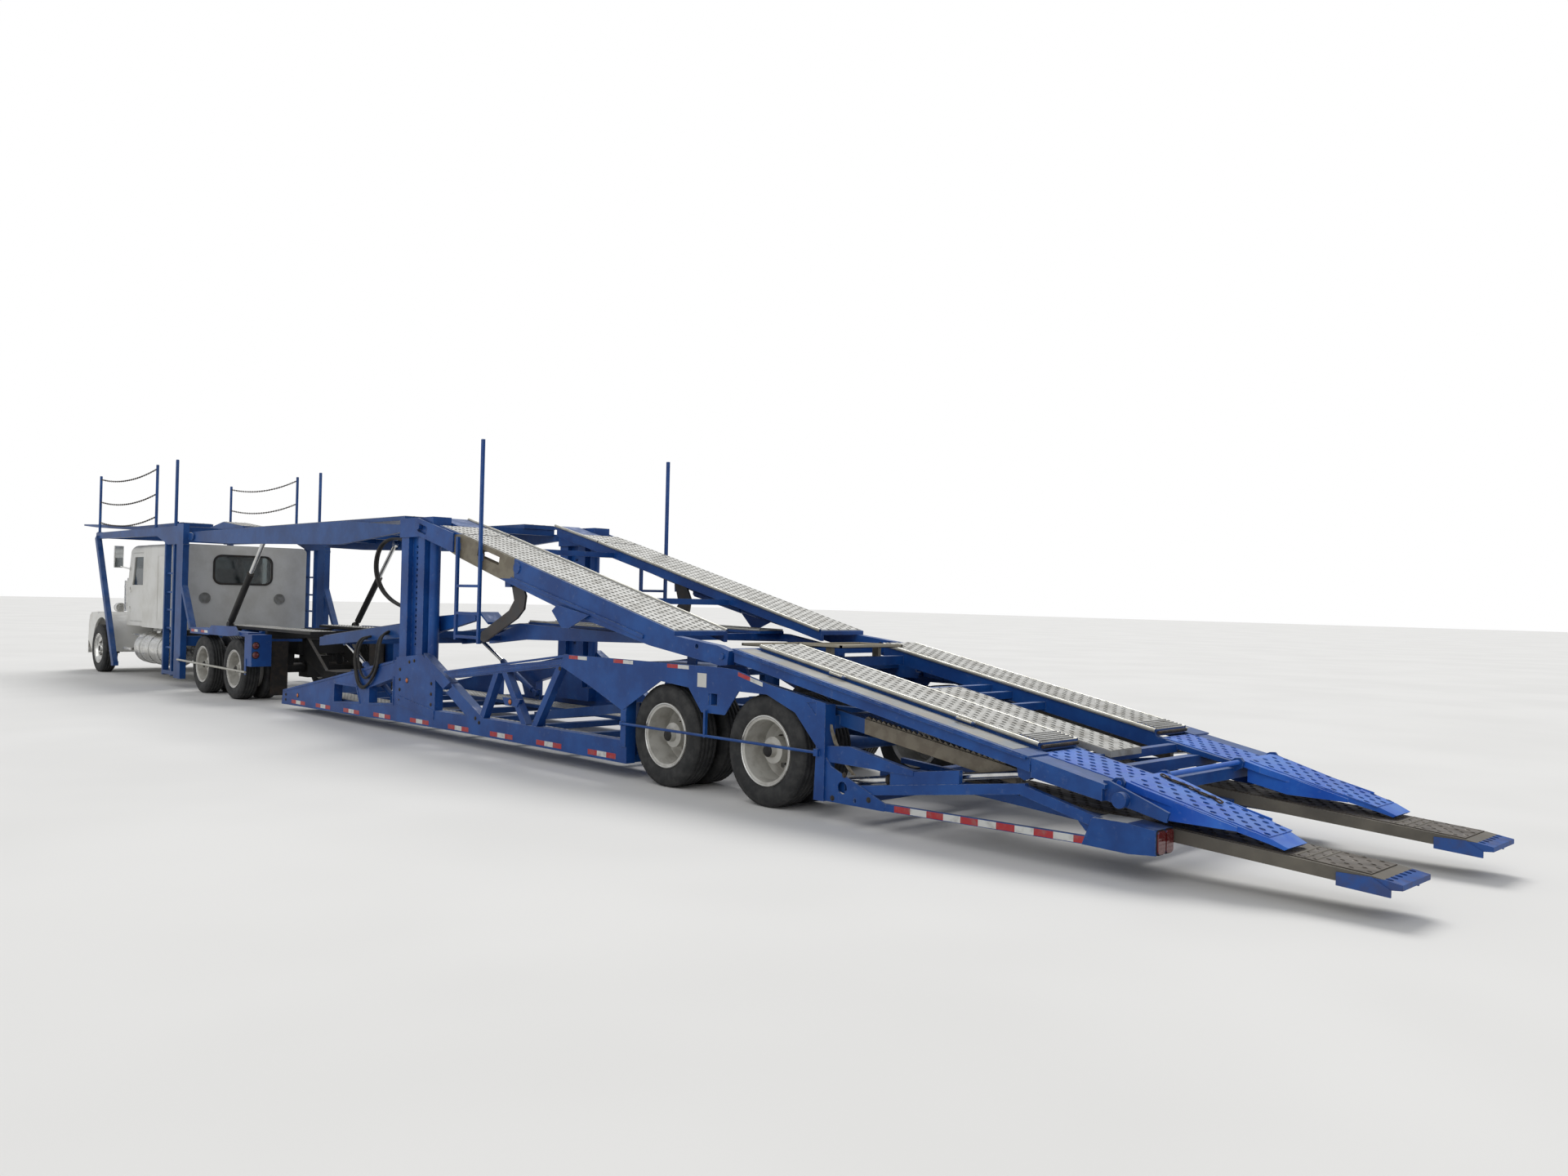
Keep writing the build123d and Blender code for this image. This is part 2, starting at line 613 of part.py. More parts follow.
def middle_deck():
    """Middle deck hung below the upper deck on two dark hook arms."""
    rail = plate([(4800, 1130), (4790, 1190), (4170, 1370), (1960, 1330), (1200, 1220), (1200, 1140),
                  (1960, 1250), (4100, 1200)], 900, 960)
    hook = plate([(4100, 1850), (3900, 1850), (3800, 1670), (3830, 1530), (3960, 1430), (4620, 1150),
                  (4700, 1175), (4680, 1260), (4120, 1510), (4020, 1620)], 1110, 1134)
    hook += box(4550, 4680, 955, 1115, 1170, 1230)
    tray = plate([(4100, 1362), (2000, 1332), (2000, 1362), (4100, 1392)], 560, 900)
    rail -= pin(MIDDLE_PIN, 22 + RUN_FIT, 880, 980)
    side = rail + hook + tray
    deck = side + other_side(side)
    for x in (2100, 3900):
        deck += box(x - 40, x + 40, -900, 900, 1270, 1335)
    return deck


def rear_top(x, rise):
    """Side-view point of the rear deck at x, `rise` above its top line."""
    return (x, REAR_TOP[1] + (x - REAR_TOP[0]) * REAR_SLOPE + rise)


def rear_track():
    """Left track of the rear deck: tray, edge tubes, grab handles and a ribbed end."""
    track = plate([rear_top(300, 4), rear_top(300, 58), rear_top(-2480, 58), rear_top(-2480, 4)], 560, 1015)
    for y in (555, 1020):
        start, end = rear_top(300, 48), rear_top(-2480, 48)
        track += rod((start[0], y, start[1]), (end[0], y, end[1]), TUBE_R)
    for x in GRAB_X:
        low, high = rear_top(x - 75, 44), rear_top(x + 75, 44)
        track += rod((low[0], 1066, low[1]), (high[0], 1066, high[1]), 9)
        for point in (low, high):
            track += rod((point[0], 1030, point[1]), (point[0], 1066, point[1]), 9)
    for count in range(END_RIBS):
        x, z = rear_top(-2320 - 34 * count, 60)
        track += box(x - 7, x + 7, 570, 1005, z - 8, z + 8)
    return track


def loose_ramps():
    """Long and short loading ramps that lie between the tracks of the rear deck."""
    ramps = plate([rear_top(-1400, -14), rear_top(-1400, 26), rear_top(-2700, 26), rear_top(-2700, -14)], 50, 470)
    ramps += plate([rear_top(-1040, -14), rear_top(-1040, 22), rear_top(-1500, 22), rear_top(-1500, -14)], 20, 430)
    for x in (-1120, -1450, -2620):
        z = rear_top(x, -10)[1]
        ramps += box(x - 35, x + 35, -575, 575, z - 60, z)
    return ramps


def rear_deck():
    """Rear deck from the shared hinge down to the ramp hinge."""
    rail = plate([rear_top(380, 0), rear_top(-2560, 0), (-2560, 590), (380, 1160)], 1170, TRUSS_OUT_Y)
    rail += bar(rear_top(370, -8), rear_top(-2540, -8), 18, TRUSS_OUT_Y - 4, HALF_WIDTH - 20)
    ear = plate([(590, 1150), (590, 1240), (300, 1245), (200, 1120), (470, 1130)], 1115, 1150)
    ear -= pin(REAR_PIN, REAR_PIN_R + RUN_FIT, 1100, 1200)
    strip = plate([rear_top(380, 0), rear_top(380, 12), rear_top(-2560, 12), rear_top(-2560, 0)], 1020, 1270)
    side = rail + ear + strip + rear_track() + box(200, 300, 1115, 1175, 1130, 1220)
    side += plate([(-2500, 697), (-3114, 576), (-3112, 546), (-2500, 650)], 560, 1240)
    side += plate([rear_top(300, 6), rear_top(-2560, 6), (-2560, 600), (300, 1160)], 560, 610)
    side += plate([(-2565, 645), (-3095, 560), (-3095, 470), (-2565, 555)], 1060, 1240)
    side += plate([(-3080, 598), (-3120, 598), (-3530, 452), (-3512, 390), (-3285, 438), (-3080, 475)], 1180, 1200)
    side += rod((-3220, 1195, 492), (-3220, 1255, 492), 50)
    side += plate([(-2550, 650), (-2400, 680), (-2430, 540), (-2480, 520), (-2530, 540)],
                  REAR_LIFT_Y + 26 + SEAT, REAR_LIFT_Y + 45)
    ear = plate(RAMP_EAR, 1110 + SEAT, 1130 + SEAT) + plate(RAMP_EAR, 530 - SEAT, 560 - SEAT)
    side += ear - pin(RAMP_PIN, RAMP_PIN_R + RUN_FIT, 500, 1200)
    deck = side + other_side(side) + loose_ramps()
    for x, z in ((-2800, 560), (-3080, 500), (-900, 960), (100, 1160)):
        deck += box(x - 40, x + 40, -1065, 1065, z - 40, z + 40)
    return deck


def flip_ramps():
    """Pair of tapered flip ramps on one cross shaft."""
    top = [(-3136, 600), (-3180, 596), (-4070, 362), (-4170, 318), (-4150, 304), (-4060, 330), (-3180, 548),
           (-3140, 560)]
    body = plate(top, 560, 1110)
    cut = slab([(-3300, 1200), (-3300, 1111), (-4200, 1000), (-4200, 1200)], 0, 900)
    body -= cut
    body -= slab([(-3300, 500), (-3300, 561), (-4200, 740), (-4200, 500)], 0, 900)
    for y in (600, 1075):
        body += plate([(-3190, 580), (-3900, 410), (-3900, 385), (-3480, 385), (-3190, 440)], y, y + 12)
    side = body + other_side(body)
    return side + pin(RAMP_PIN, RAMP_PIN_R, -1130, 1130)


def slide_ramps():
    """Dark sliding ramps with a blue end piece and a flap with round holes."""
    x0, x1 = -1750, -4640
    y0, y1 = SLIDE_Y
    beam = plate([
        slide_point(x0, 0), slide_point(x1, 0), slide_point(x1, SLIDE_DEPTH[1]), slide_point(x0, SLIDE_DEPTH[0])
    ], y0, y1)
    flap = plate([
        slide_point(x1, 0), (REAR_TIP_X, 225), (REAR_TIP_X, 195), slide_point(x1, SLIDE_DEPTH[1])
    ], y0, y1)
    for y in (640, 710, 780, 850, 920, 990):
        flap -= rod((-4720, y, 100), (-4720, y, 400), 20)
    side = beam + flap
    for y in (y0 - 7, y1 - 6):
        side += plate([(-4450, 240), (-4450, 165), (-4740, 148), (-4740, 190), (-4640, 244)], y, y + 13)
    for x in (-4200, -4260, -4320):
        z = slide_point(x, 0)[1]
        side += rod((x, y0 + 40, z), (x, y1 - 40, z), 11)
    ramps = side + other_side(side)
    cross_z = slide_point(x0, 28)[1]
    return ramps + box(x0, x0 + 60, -y1, y1, cross_z - 16, cross_z + 20)


def barrel_and_rod(foot, eye, y, radii, split, retract):
    """Cylinder barrel and rod between two pins, at one width; radii are barrel, rod and pin."""
    barrel_r, rod_r, pin_r = radii
    foot3, eye3 = (foot[0], y, foot[1]), (eye[0], y, eye[1])
    length = hypot(eye[0] - foot[0], eye[1] - foot[1])
    start = on_line(foot3, eye3, 100 / length)
    bottom = on_line(foot3, eye3, 112 / length)
    deep = on_line(foot3, eye3, (122 + retract) / length)
    middle = on_line(foot3, eye3, split)
    barrel = rod(start, middle, barrel_r) + rod(foot3, start, rod_r - 2)
    barrel += rod(on_line(foot3, eye3, split - 40 / length), middle, barrel_r + 5)
    barrel -= rod(bottom, middle, rod_r + 0.05)
    barrel += pin(foot, barrel_r * 1.1, y - rod_r, y + rod_r)
    barrel -= pin(foot, pin_r + RUN_FIT, y - 2 * barrel_r, y + 2 * barrel_r)
    ram = rod(deep, eye3, rod_r) + pin(eye, rod_r * 1.6, y - rod_r, y + rod_r)
    return barrel, ram


def neck_deck():
    """Sloping front deck between the posts and the tractor."""
    rail = plate([(6600, 1290), (8980, 1045), (8980, 930), (6700, 1120), (6560, 1150)], 1040, 1100)
    rail -= pin(NECK_PIN, NECK_PIN_R + RUN_FIT, 1000, 1200)
    rail += pin(NECK_EYE, 40, 1036 + SEAT, 1045)
    track = plate([(6700, 1265), (8980, 1030), (8980, 1065), (6700, 1300)], 600, 1045)
    side = rail + track
    deck = side + other_side(side)
    for x, z in ((8900, 980), (7600, 1110)):
        deck += box(x - 40, x + 40, -1040, 1040, z - 30, z + 60)
    return deck


# Tractor


def tractor_frame():
    """Frame rails, cross members, axles and the low drop frame behind the drive axles."""
    rail = box(11300, 19300, 350, 430, 680, FRAME_TOP_Z)
    frame = rail + other_side(rail)
    for x in (19200, 17000, 15500, 14000, 12427, 11350):
        frame += box(x - 50, x + 50, -350, 350, 700, 920)
    drop = plate([(11500, 940), (11200, 940), (10500, 480), (10200, 480), (10200, 380), (10600, 380),
                  (11500, 680)], 300, 350)
    frame += drop + other_side(drop)
    head = box(10100, 10700, -350, 350, 440, 480)
    head -= rod((PIVOT_X, 0, 400), (PIVOT_X, 0, 500), PIVOT_PIN_R + RUN_FIT)
    frame += head
    for x in DRIVE_X:
        frame += rod((x, SEAT - HUB_INNER_Y, TYRE_R), (x, HUB_INNER_Y - SEAT, TYRE_R), 75)
        frame += box(x - 170, x + 170, -170, 170, TYRE_R - 150, TYRE_R + 190)
        hanger = box(x - 60, x + 60, 350, 430, TYRE_R, 700)
        frame += hanger + other_side(hanger)
    frame += box(STEER_X - 50, STEER_X + 50, -KING_Y, KING_Y, 390, 480)
    for y in (-KING_Y, KING_Y):
        frame += rod((STEER_X, y, 390), (STEER_X, y, 480), 52)
        frame -= rod((STEER_X, y, 380), (STEER_X, y, 490), KING_R + RUN_FIT)
    spring = box(STEER_X - 60, STEER_X + 60, 360, 430, 470, 700)
    frame += spring + other_side(spring)
    return frame


def knuckle():
    """Left steering knuckle with its stub axle and arm."""
    low = rod((STEER_X, KING_Y, 355), (STEER_X, KING_Y, 390 - SEAT), 45)
    high = rod((STEER_X, KING_Y, 480 + SEAT), (STEER_X, KING_Y, 520), 45)
    back = box(STEER_X - 45, STEER_X + 45, KING_Y + 60, KING_Y + 90, 355, 520)
    webs = box(STEER_X - 40, STEER_X + 40, KING_Y, KING_Y + 70, 355, 390 - SEAT)
    webs += box(STEER_X - 40, STEER_X + 40, KING_Y, KING_Y + 70, 480 + SEAT, 520)
    king_pin = rod((STEER_X, KING_Y, 355), (STEER_X, KING_Y, 520), KING_R)
    stub = rod((STEER_X, KING_Y + 60, TYRE_R), (STEER_X, TYRE_OUTER_Y - TYRE_W + 60 - SEAT, TYRE_R), 40)
    return low + high + back + webs + king_pin + stub


def cab_shell():
    """Hollow cab with its windscreen, roof and door openings."""
    x0, x1 = CAB_X
    outline = [(x0, CAB_Z[0]), (x1, CAB_Z[0]), (x1, 1720), (x1 - 170, 2330), (x1 - 320, CAB_Z[1]),
               (x0, CAB_Z[1])]
    inside = [(x0 - 5, CAB_Z[0] + SHELL_T), (x1 - SHELL_T, CAB_Z[0] + SHELL_T), (x1 - SHELL_T, 1710),
              (x1 - 170 - SHELL_T, 2310), (x1 - 340, CAB_Z[1] - SHELL_T), (x0 - 5, CAB_Z[1] - SHELL_T)]
    shell = plate(outline, -CAB_HALF, CAB_HALF) - plate(inside, -CAB_HALF + SHELL_T, CAB_HALF - SHELL_T)
    shell &= rounded_panel(-CAB_HALF, CAB_HALF, CAB_Z[0] - 300, CAB_Z[1], ROOF_R, x0 - 10, x1 + 10)
    door = door_outline(0)
    shell -= plate(door, CAB_HALF - 100, CAB_HALF + 100)
    shell -= plate(door, -CAB_HALF - 100, -CAB_HALF + 100)
    screen = plate([(x1 - 100, 1760), (x1 + 60, 1760), (x1 - 60, 2290), (x1 - 250, 2290)], 40, CAB_HALF - 90)
    shell -= screen
    shell -= other_side(screen)
    for z in HINGE_Z:
        hinge = rod((DOOR_AXIS[0], DOOR_AXIS[1], z + 50 + SEAT), (DOOR_AXIS[0], DOOR_AXIS[1], z + 95), 10)
        hinge += box(DOOR_AXIS[0], DOOR_AXIS[0] + 40, CAB_HALF - 5, CAB_HALF + 11, z + 50 + SEAT, z + 95)
        shell += hinge + other_side(hinge)
    return shell


def door_outline(inset):
    """Side-view outline of the cab door, or of its window for a bigger inset."""
    return [(16760 + inset, 1020 + inset), (17780 - inset, 1020 + inset), (17780 - inset, 1760),
            (17640 - inset, 2300 - inset), (16760 + inset, 2300 - inset)]


def window_outline(inset):
    """Side-view outline of the door window."""
    return [(16860 + inset, 1700 + inset), (17690 - inset, 1700 + inset), (17640 - inset, 1800),
            (17560 - inset, 2220 - inset), (16860 + inset, 2220 - inset)]


def door_panel():
    """Left cab door with its window cut out."""
    gap = 5
    panel = plate(door_outline(gap), CAB_HALF - SHELL_T, CAB_HALF)
    panel -= plate(window_outline(0), CAB_HALF - 100, CAB_HALF + 100)
    handle = box(16830, 16960, CAB_HALF, CAB_HALF + 25, 1560, 1590)
    for z in HINGE_Z:
        panel += rod((DOOR_AXIS[0], DOOR_AXIS[1], z), (DOOR_AXIS[0], DOOR_AXIS[1], z + 50), 10)
        panel += box(DOOR_AXIS[0] - 60, DOOR_AXIS[0], CAB_HALF + SEAT, CAB_HALF + 11, z, z + 50)
        panel += box(DOOR_AXIS[0] - 60, DOOR_AXIS[0] - 20, CAB_HALF - 5, CAB_HALF + 11, z, z + 50)
    return panel + handle


def door_glass():
    """Pane of the left cab door."""
    return plate(window_outline(SEAT), CAB_HALF - 26, CAB_HALF - 20)


def sleeper_shell():
    """Hollow sleeper box with its rear window, two round vents and a raised side hatch."""
    x0, x1 = SLEEPER_X
    z0, z1 = SLEEPER_Z
    shell = rounded_panel(-SLEEPER_HALF, SLEEPER_HALF, z0 - 300, z1, ROOF_R, x0, x1) - box(
        x0 - 10, x1 + 10, -1300, 1300, z0 - 400, z0)
    shell -= box(x0 + SHELL_T, x1 + 5, -SLEEPER_HALF + SHELL_T, SLEEPER_HALF - SHELL_T, z0 + SHELL_T, z1 - SHELL_T)
    half, low, high, radius = REAR_WINDOW
    shell += rounded_panel(-half - 35, half + 35, low - 35, high + 35, radius + 35, x0 - 12, x0 + 4)
    shell -= rounded_panel(-half, half, low, high, radius, x0 - 20, x0 + 100)
    y, z, r = VENT
    vent = rod((x0 - 18, y, z), (x0 + 5, y, z), r) - rod((x0 - 30, y, z), (x0 - 8, y, z), r - 22)
    hatch = box(15300, 15800, SLEEPER_HALF - 4, SLEEPER_HALF + 12, 1050, 2250)
    hatch -= box(15330, 15770, SLEEPER_HALF + 6, SLEEPER_HALF + 20, 1080, 2220)
    return shell + vent + other_side(vent) + hatch + other_side(hatch)


def cab_glass():
    """Fixed panes: two windscreen halves and the sleeper's rear pane."""
    x1 = CAB_X[1]
    pane = plate([(x1 - 29, 1760 + SEAT), (x1 - 23, 1760 + SEAT), (x1 - 171, 2290 - SEAT), (x1 - 177, 2290 - SEAT)],
                 40 + SEAT, CAB_HALF - 90 - SEAT)
    half, low, high, radius = REAR_WINDOW
    rear = rounded_panel(-half + SEAT, half - SEAT, low + SEAT, high - SEAT, radius, SLEEPER_X[0] + 10,
                         SLEEPER_X[0] + 16)
    return group(pane, other_side(pane), rear)


def cab_interior():
    """Floor trim, dash, steering wheel, two seats and the bunk."""
    seat = box(16900, 17350, 250, 720, 1100, 1420) + box(16820, 16940, 250, 720, 1300, 2050)
    seats = seat + other_side(seat)
    dash_y = CAB_HALF - SHELL_T - 60
    dash = box(17620, CAB_X[1] - SHELL_T - SEAT, -dash_y, dash_y, 1350, 1640)
    base = box(16750, 17880, -dash_y, dash_y, CAB_Z[0] + SHELL_T + SEAT, 1110)
    wheel = Pos(17480, 480, 1650) * Rot(0, -55, 0) * Torus(210, 14)
    column = rod((17640, 480, 1560), (17480, 480, 1650), 25)
    spoke = Pos(17480, 480, 1650) * Rot(0, -55, 0) * Box(30, 400, 14)
    bunk_y = SLEEPER_HALF - SHELL_T - 40
    bunk = box(14950, 15600, -bunk_y, bunk_y, SLEEPER_Z[0] + SHELL_T + SEAT, 1400)
    return group(base + dash + seats + column + spoke + wheel, bunk)


def hood_half(x):
    """Half width of the hood at x, which narrows towards the grille."""
    back, front = HOOD_SECTIONS[0], HOOD_SECTIONS[-1]
    return back[1] + (front[1] - back[1]) * (x - back[0]) / (front[0] - back[0])


def hood_block(wall, drop, ahead):
    """Hood outline from its sections, made smaller by a wall and lower by a drop."""
    faces = []
    for x, half, z0, z1, radius in HOOD_SECTIONS:
        width, height = 2 * (half - wall), z1 - wall - (z0 - drop)
        section = Pos(0, (z0 - drop + z1 - wall) / 2) * RectangleRounded(width, height, radius - wall)
        faces.append(Pos(x + ahead, 0, 0) * (Plane.YZ * section))
    return loft(faces, ruled=True)


def hood_shell():
    """Tilting hood that narrows forward, with its two round fenders."""
    crown = hood_block(0, 0, 0) - hood_block(HOOD_WALL, 200, -HOOD_WALL)
    lug = plate([(19640, 800), (19742, 930), (19757, 930), (19757, 800), (19775, 700), (19808, 660), (19808, 625), (19780, 606),
                 (19752, 620)], 300, 345)
    lug += pin(HOOD_PIN, HOOD_PIN_R, 300, 430)
    arch = (STEER_X, TYRE_R + 40)
    inner_r = TYRE_R + 102
    fender = pin(arch, inner_r + 100, 440, 1190) - pin(arch, inner_r + 72, 400, 1150)
    fender -= pin(arch, inner_r, 1100, 1200)
    fender = fender & box(18000, 19790, 435, 1190, 420, 1250)
    wing = plate([(19480, 560), (19540, 420), (19755, 600), (19752, 900), (19690, 1080), (19560, 1140), (19150, 1160),
                  (19100, 1080), (19420, 900)], 480, 1190)
    fender += wing - pin(arch, inner_r + 72, 400, 1200)
    return crown + fender + other_side(fender) + lug + other_side(lug)


def grille_and_headlamps():
    """Radiator grille in front of the hood, and two round headlamps on the fenders."""
    surround = rounded_panel(-400, 400, 820, 1385, 80, 19760 + SEAT, 19805)
    surround -= rounded_panel(-350, 350, 870, 1335, 50, 19750, 19815)
    for z in range(895, 1330, 55):
        surround += box(19772, 19792, -352, 352, z, z + 14)
    for y in (-170, 0, 170):
        surround += box(19768, 19776, y - 9, y + 9, 860, 1345)
    lamp = rod((19430, 700, 1240), (19590, 700, 1240), 92) + rod((19590, 700, 1240), (19612, 700, 1240), 78)
    lamp += plate([(19460, 1144.9 + SEAT), (19520, 1142 + SEAT), (19520, 1200), (19460, 1200)], 660, 740)
    return group(surround, lamp, other_side(lamp))


def front_bumper():
    """Deep front bumper with swept ends and its two brackets."""
    face = slab([(19880, -1060), (19880, 1060), (19850, 1130), (19805, 1180), (19782, 1180), (19830, 1050),
                 (19830, -1050), (19782, -1180), (19805, -1180), (19850, -1130)], 330, 680)
    face -= rounded_panel(-140, 140, 380, 450, 20, 19700, 19900)
    arm = box(19300 + SEAT, 19840, 350, 430, 590, 676) + box(19300 + SEAT, 19420, 350, 430, 670, 760)
    arm -= pin(HOOD_PIN, HOOD_PIN_R + RUN_FIT, 300, 500)
    return face + arm + other_side(arm)


def fuel_tanks():
    """Round fuel tanks with their straps, caps and step plates."""
    tank = rod((15400, 850, 560), (17000, 850, 560), 285) + rod((15375, 850, 560), (17025, 850, 560), 245)
    for x in (15700, 16200, 16700):
        tank += rod((x - 30, 850, 560), (x + 30, 850, 560), 293)
        tank += box(x - 30, x + 30, 430 + SEAT, 650, 690, 780)
    tank += rod((16450, 850, 830), (16450, 850, 870), 60)
    step = box(17100, 17600, 600, 1150, 500, 540) + box(17100, 17600, 600, 640, 500, 900)
    step += box(17100, 17600, 430 + SEAT, 640, 800, 840) + box(17100, 17600, 620, 1000, 760, 790)
    return group(tank, step, other_side(tank), other_side(step))


def air_cleaners():
    """Upright air cleaner drums beside the cowl, with their bands and caps."""
    x, y, r = CAB_X[1] + AIR_R + 6, 850, AIR_R
    drum = rod((x, y, 1200), (x, y, 1780), r) + rod((x, y, 1780), (x, y, 1830), r - 45)
    for z in (1290, 1640):
        drum += rod((x, y, z), (x, y, z + 40), r + 4)
    drum += box(CAB_X[1] + SEAT, x - r + 40, y - 40, y + 40, 1300, 1400)
    return both(drum)


def mirrors():
    """Mirror heads on arms from the cab corner."""
    head = box(17950, 18010, 1090, 1240, 2020, 2430)
    head += rod((17800, CAB_HALF + 12, 2000), (17980, 1150, 2050), 12)
    head += rod((17800, CAB_HALF + SEAT, 2000), (17800, CAB_HALF + 20, 2000), 25)
    return both(head)


def headrack_frame():
    """Posts, legs, ladders, rails and cross beams that stand over the cab."""
    y0, y1 = 1150, TRUSS_OUT_Y
    rail = plate([(14130, 2705), (19190, 2705), (19190, 2590), (15500, 2560), (14900, 2400), (14130, 2400)], y0, y1)
    leg = bar((19080, 2620), (17780, 230), 110, y0 + 45, HALF_WIDTH - 7)
    post = box(14130, 14440, y0, y1, 155, 2740)
    ladder = box(14560, 14620, y0, y1, 180, 2500) + box(14990, 15050, y0, y1, 180, 2500)
    for z in (650, 980, 1290, 1590, 1910):
        ladder += box(14560, 15050, y0 + 30, y0 + 60, z - 15, z + 15)
    brace = bar((14300, 1900), (13700, 1010), 70, y0, y1)
    brace += bar((14300, 1960), (14140, 2400), 60, y0, y1)
    side = rail + leg + post + ladder + brace
    side += box(14200, 14400, 430 + SEAT, y0, 700, 860)
    side += box(14440, 15050, y0, y1, 200, 260)
    side += box(17700, 17840, y0 + 45, HALF_WIDTH - 7, 180, 260)
    deck_lug = plate([(14150, 2460), (14150, 2590), (13960, 2580), (13900, 2540), (13900, 2490), (13960, 2460)],
                     1140 + SEAT, 1165)
    side += deck_lug + pin(DECK_PIN, 30, 1085, 1165)
    rack_lug = box(14660, 14740, y0, y0 + 25, 2700, 2790) - pin(RACK_PIN, 20 + RUN_FIT, y0 - 5, y0 + 30)
    side += rack_lug
    rack = side + other_side(side)
    for x in (14300, 16600, 19100):
        rack += box(x - 50, x + 50, -y0, y0, 2600, 2690)
    return rack


def headrack_deck():
    """Tracks over the cab, with the front tips."""
    track = plate([(14650, 2715), (17200, 2715), (19640, 2830), (20540, 2890), (20540, 2920), (19640, 2890),
                   (17200, 2775), (14650, 2775)], 600, 1130)
    track += pin(RACK_PIN, 20, 1100, 1175)
    deck = track + other_side(track)
    for x, z in ((15400, 2745), (17000, 2745), (19500, 2850)):
        deck += box(x - 40, x + 40, -600, 600, z - 25, z + 25)
    return deck


def guard_chain(start, end, height):
    """Sagging chain as one bent flat bar between two posts."""
    top, low = [], []
    for count in range(CHAIN_RUNS + 1):
        share = count / CHAIN_RUNS
        x = start + (end - start) * share
        z = height - 4 * CHAIN_SAG * share * (1 - share)
        top.append((x, z + CHAIN_R))
        low.append((x, z - CHAIN_R))
    return plate(top + low[::-1], RACK_POST_Y - CHAIN_R, RACK_POST_Y + CHAIN_R)


def guard_posts():
    """Guard posts along the head rack with three sagging chains and a tall pole."""
    frame = guard_chain(*GUARD_X, CHAIN_Z[0])
    for z in CHAIN_Z[1:]:
        frame += guard_chain(*GUARD_X, z)
    for x in GUARD_X:
        frame += rod((x, RACK_POST_Y, 2705 + SEAT), (x, RACK_POST_Y, 3810), 24)
    pole = rod((14580, RACK_POST_Y, 2705 + SEAT), (14580, RACK_POST_Y, 3830), 26)
    return both(group(frame, pole))


def drive_fenders():
    """Fender boxes, side plates and lamp boxes over the drive wheels."""
    fender = box(12810, 13660, 1000, 1250, 935, 1030)
    hexagon = plate([(12690, 1090), (11740, 1100), (11580, 970), (11990, 945), (12300, 945), (12850, 945), (12850, 1010)],
                    1210, 1250)
    lamps = box(11000, 11280, 960, 1250, 530, 1000)
    side = fender + hexagon + box(11260, 12810, 1160, 1210, 960, 1020) + lamps
    side += box(11300, 12300, 1000, 1160, 990, 1020)
    side += box(13560, 13660, 430 + SEAT, 1000, 935, 990)
    side += box(12000, 12100, 430 + SEAT, 1000, 960, 1040)
    side += box(11180, 11205, 560, 1000, 890, 930)
    side += box(11180, 11205, 640, 890, 80, 900)
    side += box(11180, 11330, 430 + SEAT, 600, 890, 930)
    side += box(11300, 11400, 430 + SEAT, 1000, 960, 1040)
    return both(side)


def tractor_deck():
    """Rear upper deck of the tractor, over the drive wheels and the trailer's nose."""
    rail = plate([(14030, 2600), (8300, 2600), (6620, 2500), (6620, 2410), (8340, 2290), (12500, 2380),
                  (13900, 2440), (14030, 2470)], 1080, 1140)
    rail -= pin(DECK_PIN, 30 + RUN_FIT, 1000, 1200)
    track = box(6640, 13800, 600, 1080, 2560, 2610)
    side = rail + track
    ramp = plate([(12640, 2605), (13430, 2650), (12800, 2730), (11950, 2640), (11950, 2605)], 700, 1080)
    side += ramp
    side += pin(DECK_EYE, 60, DECK_LIFT_Y + 32 + SEAT, 1085)
    deck = side + other_side(side)
    for x in (13600, 12000, 10400, 8800, 6700):
        deck += box(x - 40, x + 40, -1080, 1080, 2480, 2560)
    return deck


def low_rear_deck():
    """Low deck over the drop frame."""
    track = box(9650, 12900, 560, 950, 1050, 1090)
    deck = track + other_side(track)
    lug = plate([(12440, 1050), (12440, 1090), (12500, 1140), (12560, 1140), (12600, 1090), (12600, 1050)],
                DECK_LIFT_Y - 50, DECK_LIFT_Y - 32 - SEAT)
    lug += box(12440, 12600, 940, DECK_LIFT_Y - 32 - SEAT, 1050, 1085)
    lug += pin(DECK_FOOT, 18, DECK_LIFT_Y - 50, DECK_LIFT_Y + 32)
    deck += lug + other_side(lug)
    for x in (11250, 12427):
        deck += box(x - 40, x + 40, -950, 950, 940, 1050)
    return deck


def engine_block():
    """Engine and gearbox as one plain block."""
    return box(17980, 19140, -350 + SEAT, 350 - SEAT, 760, 900) + box(17980, 19140, -300, 300, 890, 1340)


def coupling_pin():
    """Trailer's tongue with the king pin in the drop frame."""
    tongue = plate([(9600, 130), (9600, 340), (10450, 340), (10450, 250), (9900, 130)], -250, 250)
    return tongue + rod((PIVOT_X, 0, 300), (PIVOT_X, 0, 500), PIVOT_PIN_R)


deck_barrel, deck_rod = barrel_and_rod(DECK_FOOT, DECK_EYE, DECK_LIFT_Y, (50, 32, 18), 0.6, 225)
rear_barrel, rear_rod = barrel_and_rod(REAR_FOOT, REAR_EYE, REAR_LIFT_Y, (36, 26, 16), 0.68, 20)
neck_barrel, neck_rod = barrel_and_rod(NECK_FOOT, NECK_EYE, 1010, (36, 26, 18), 0.6, 165)

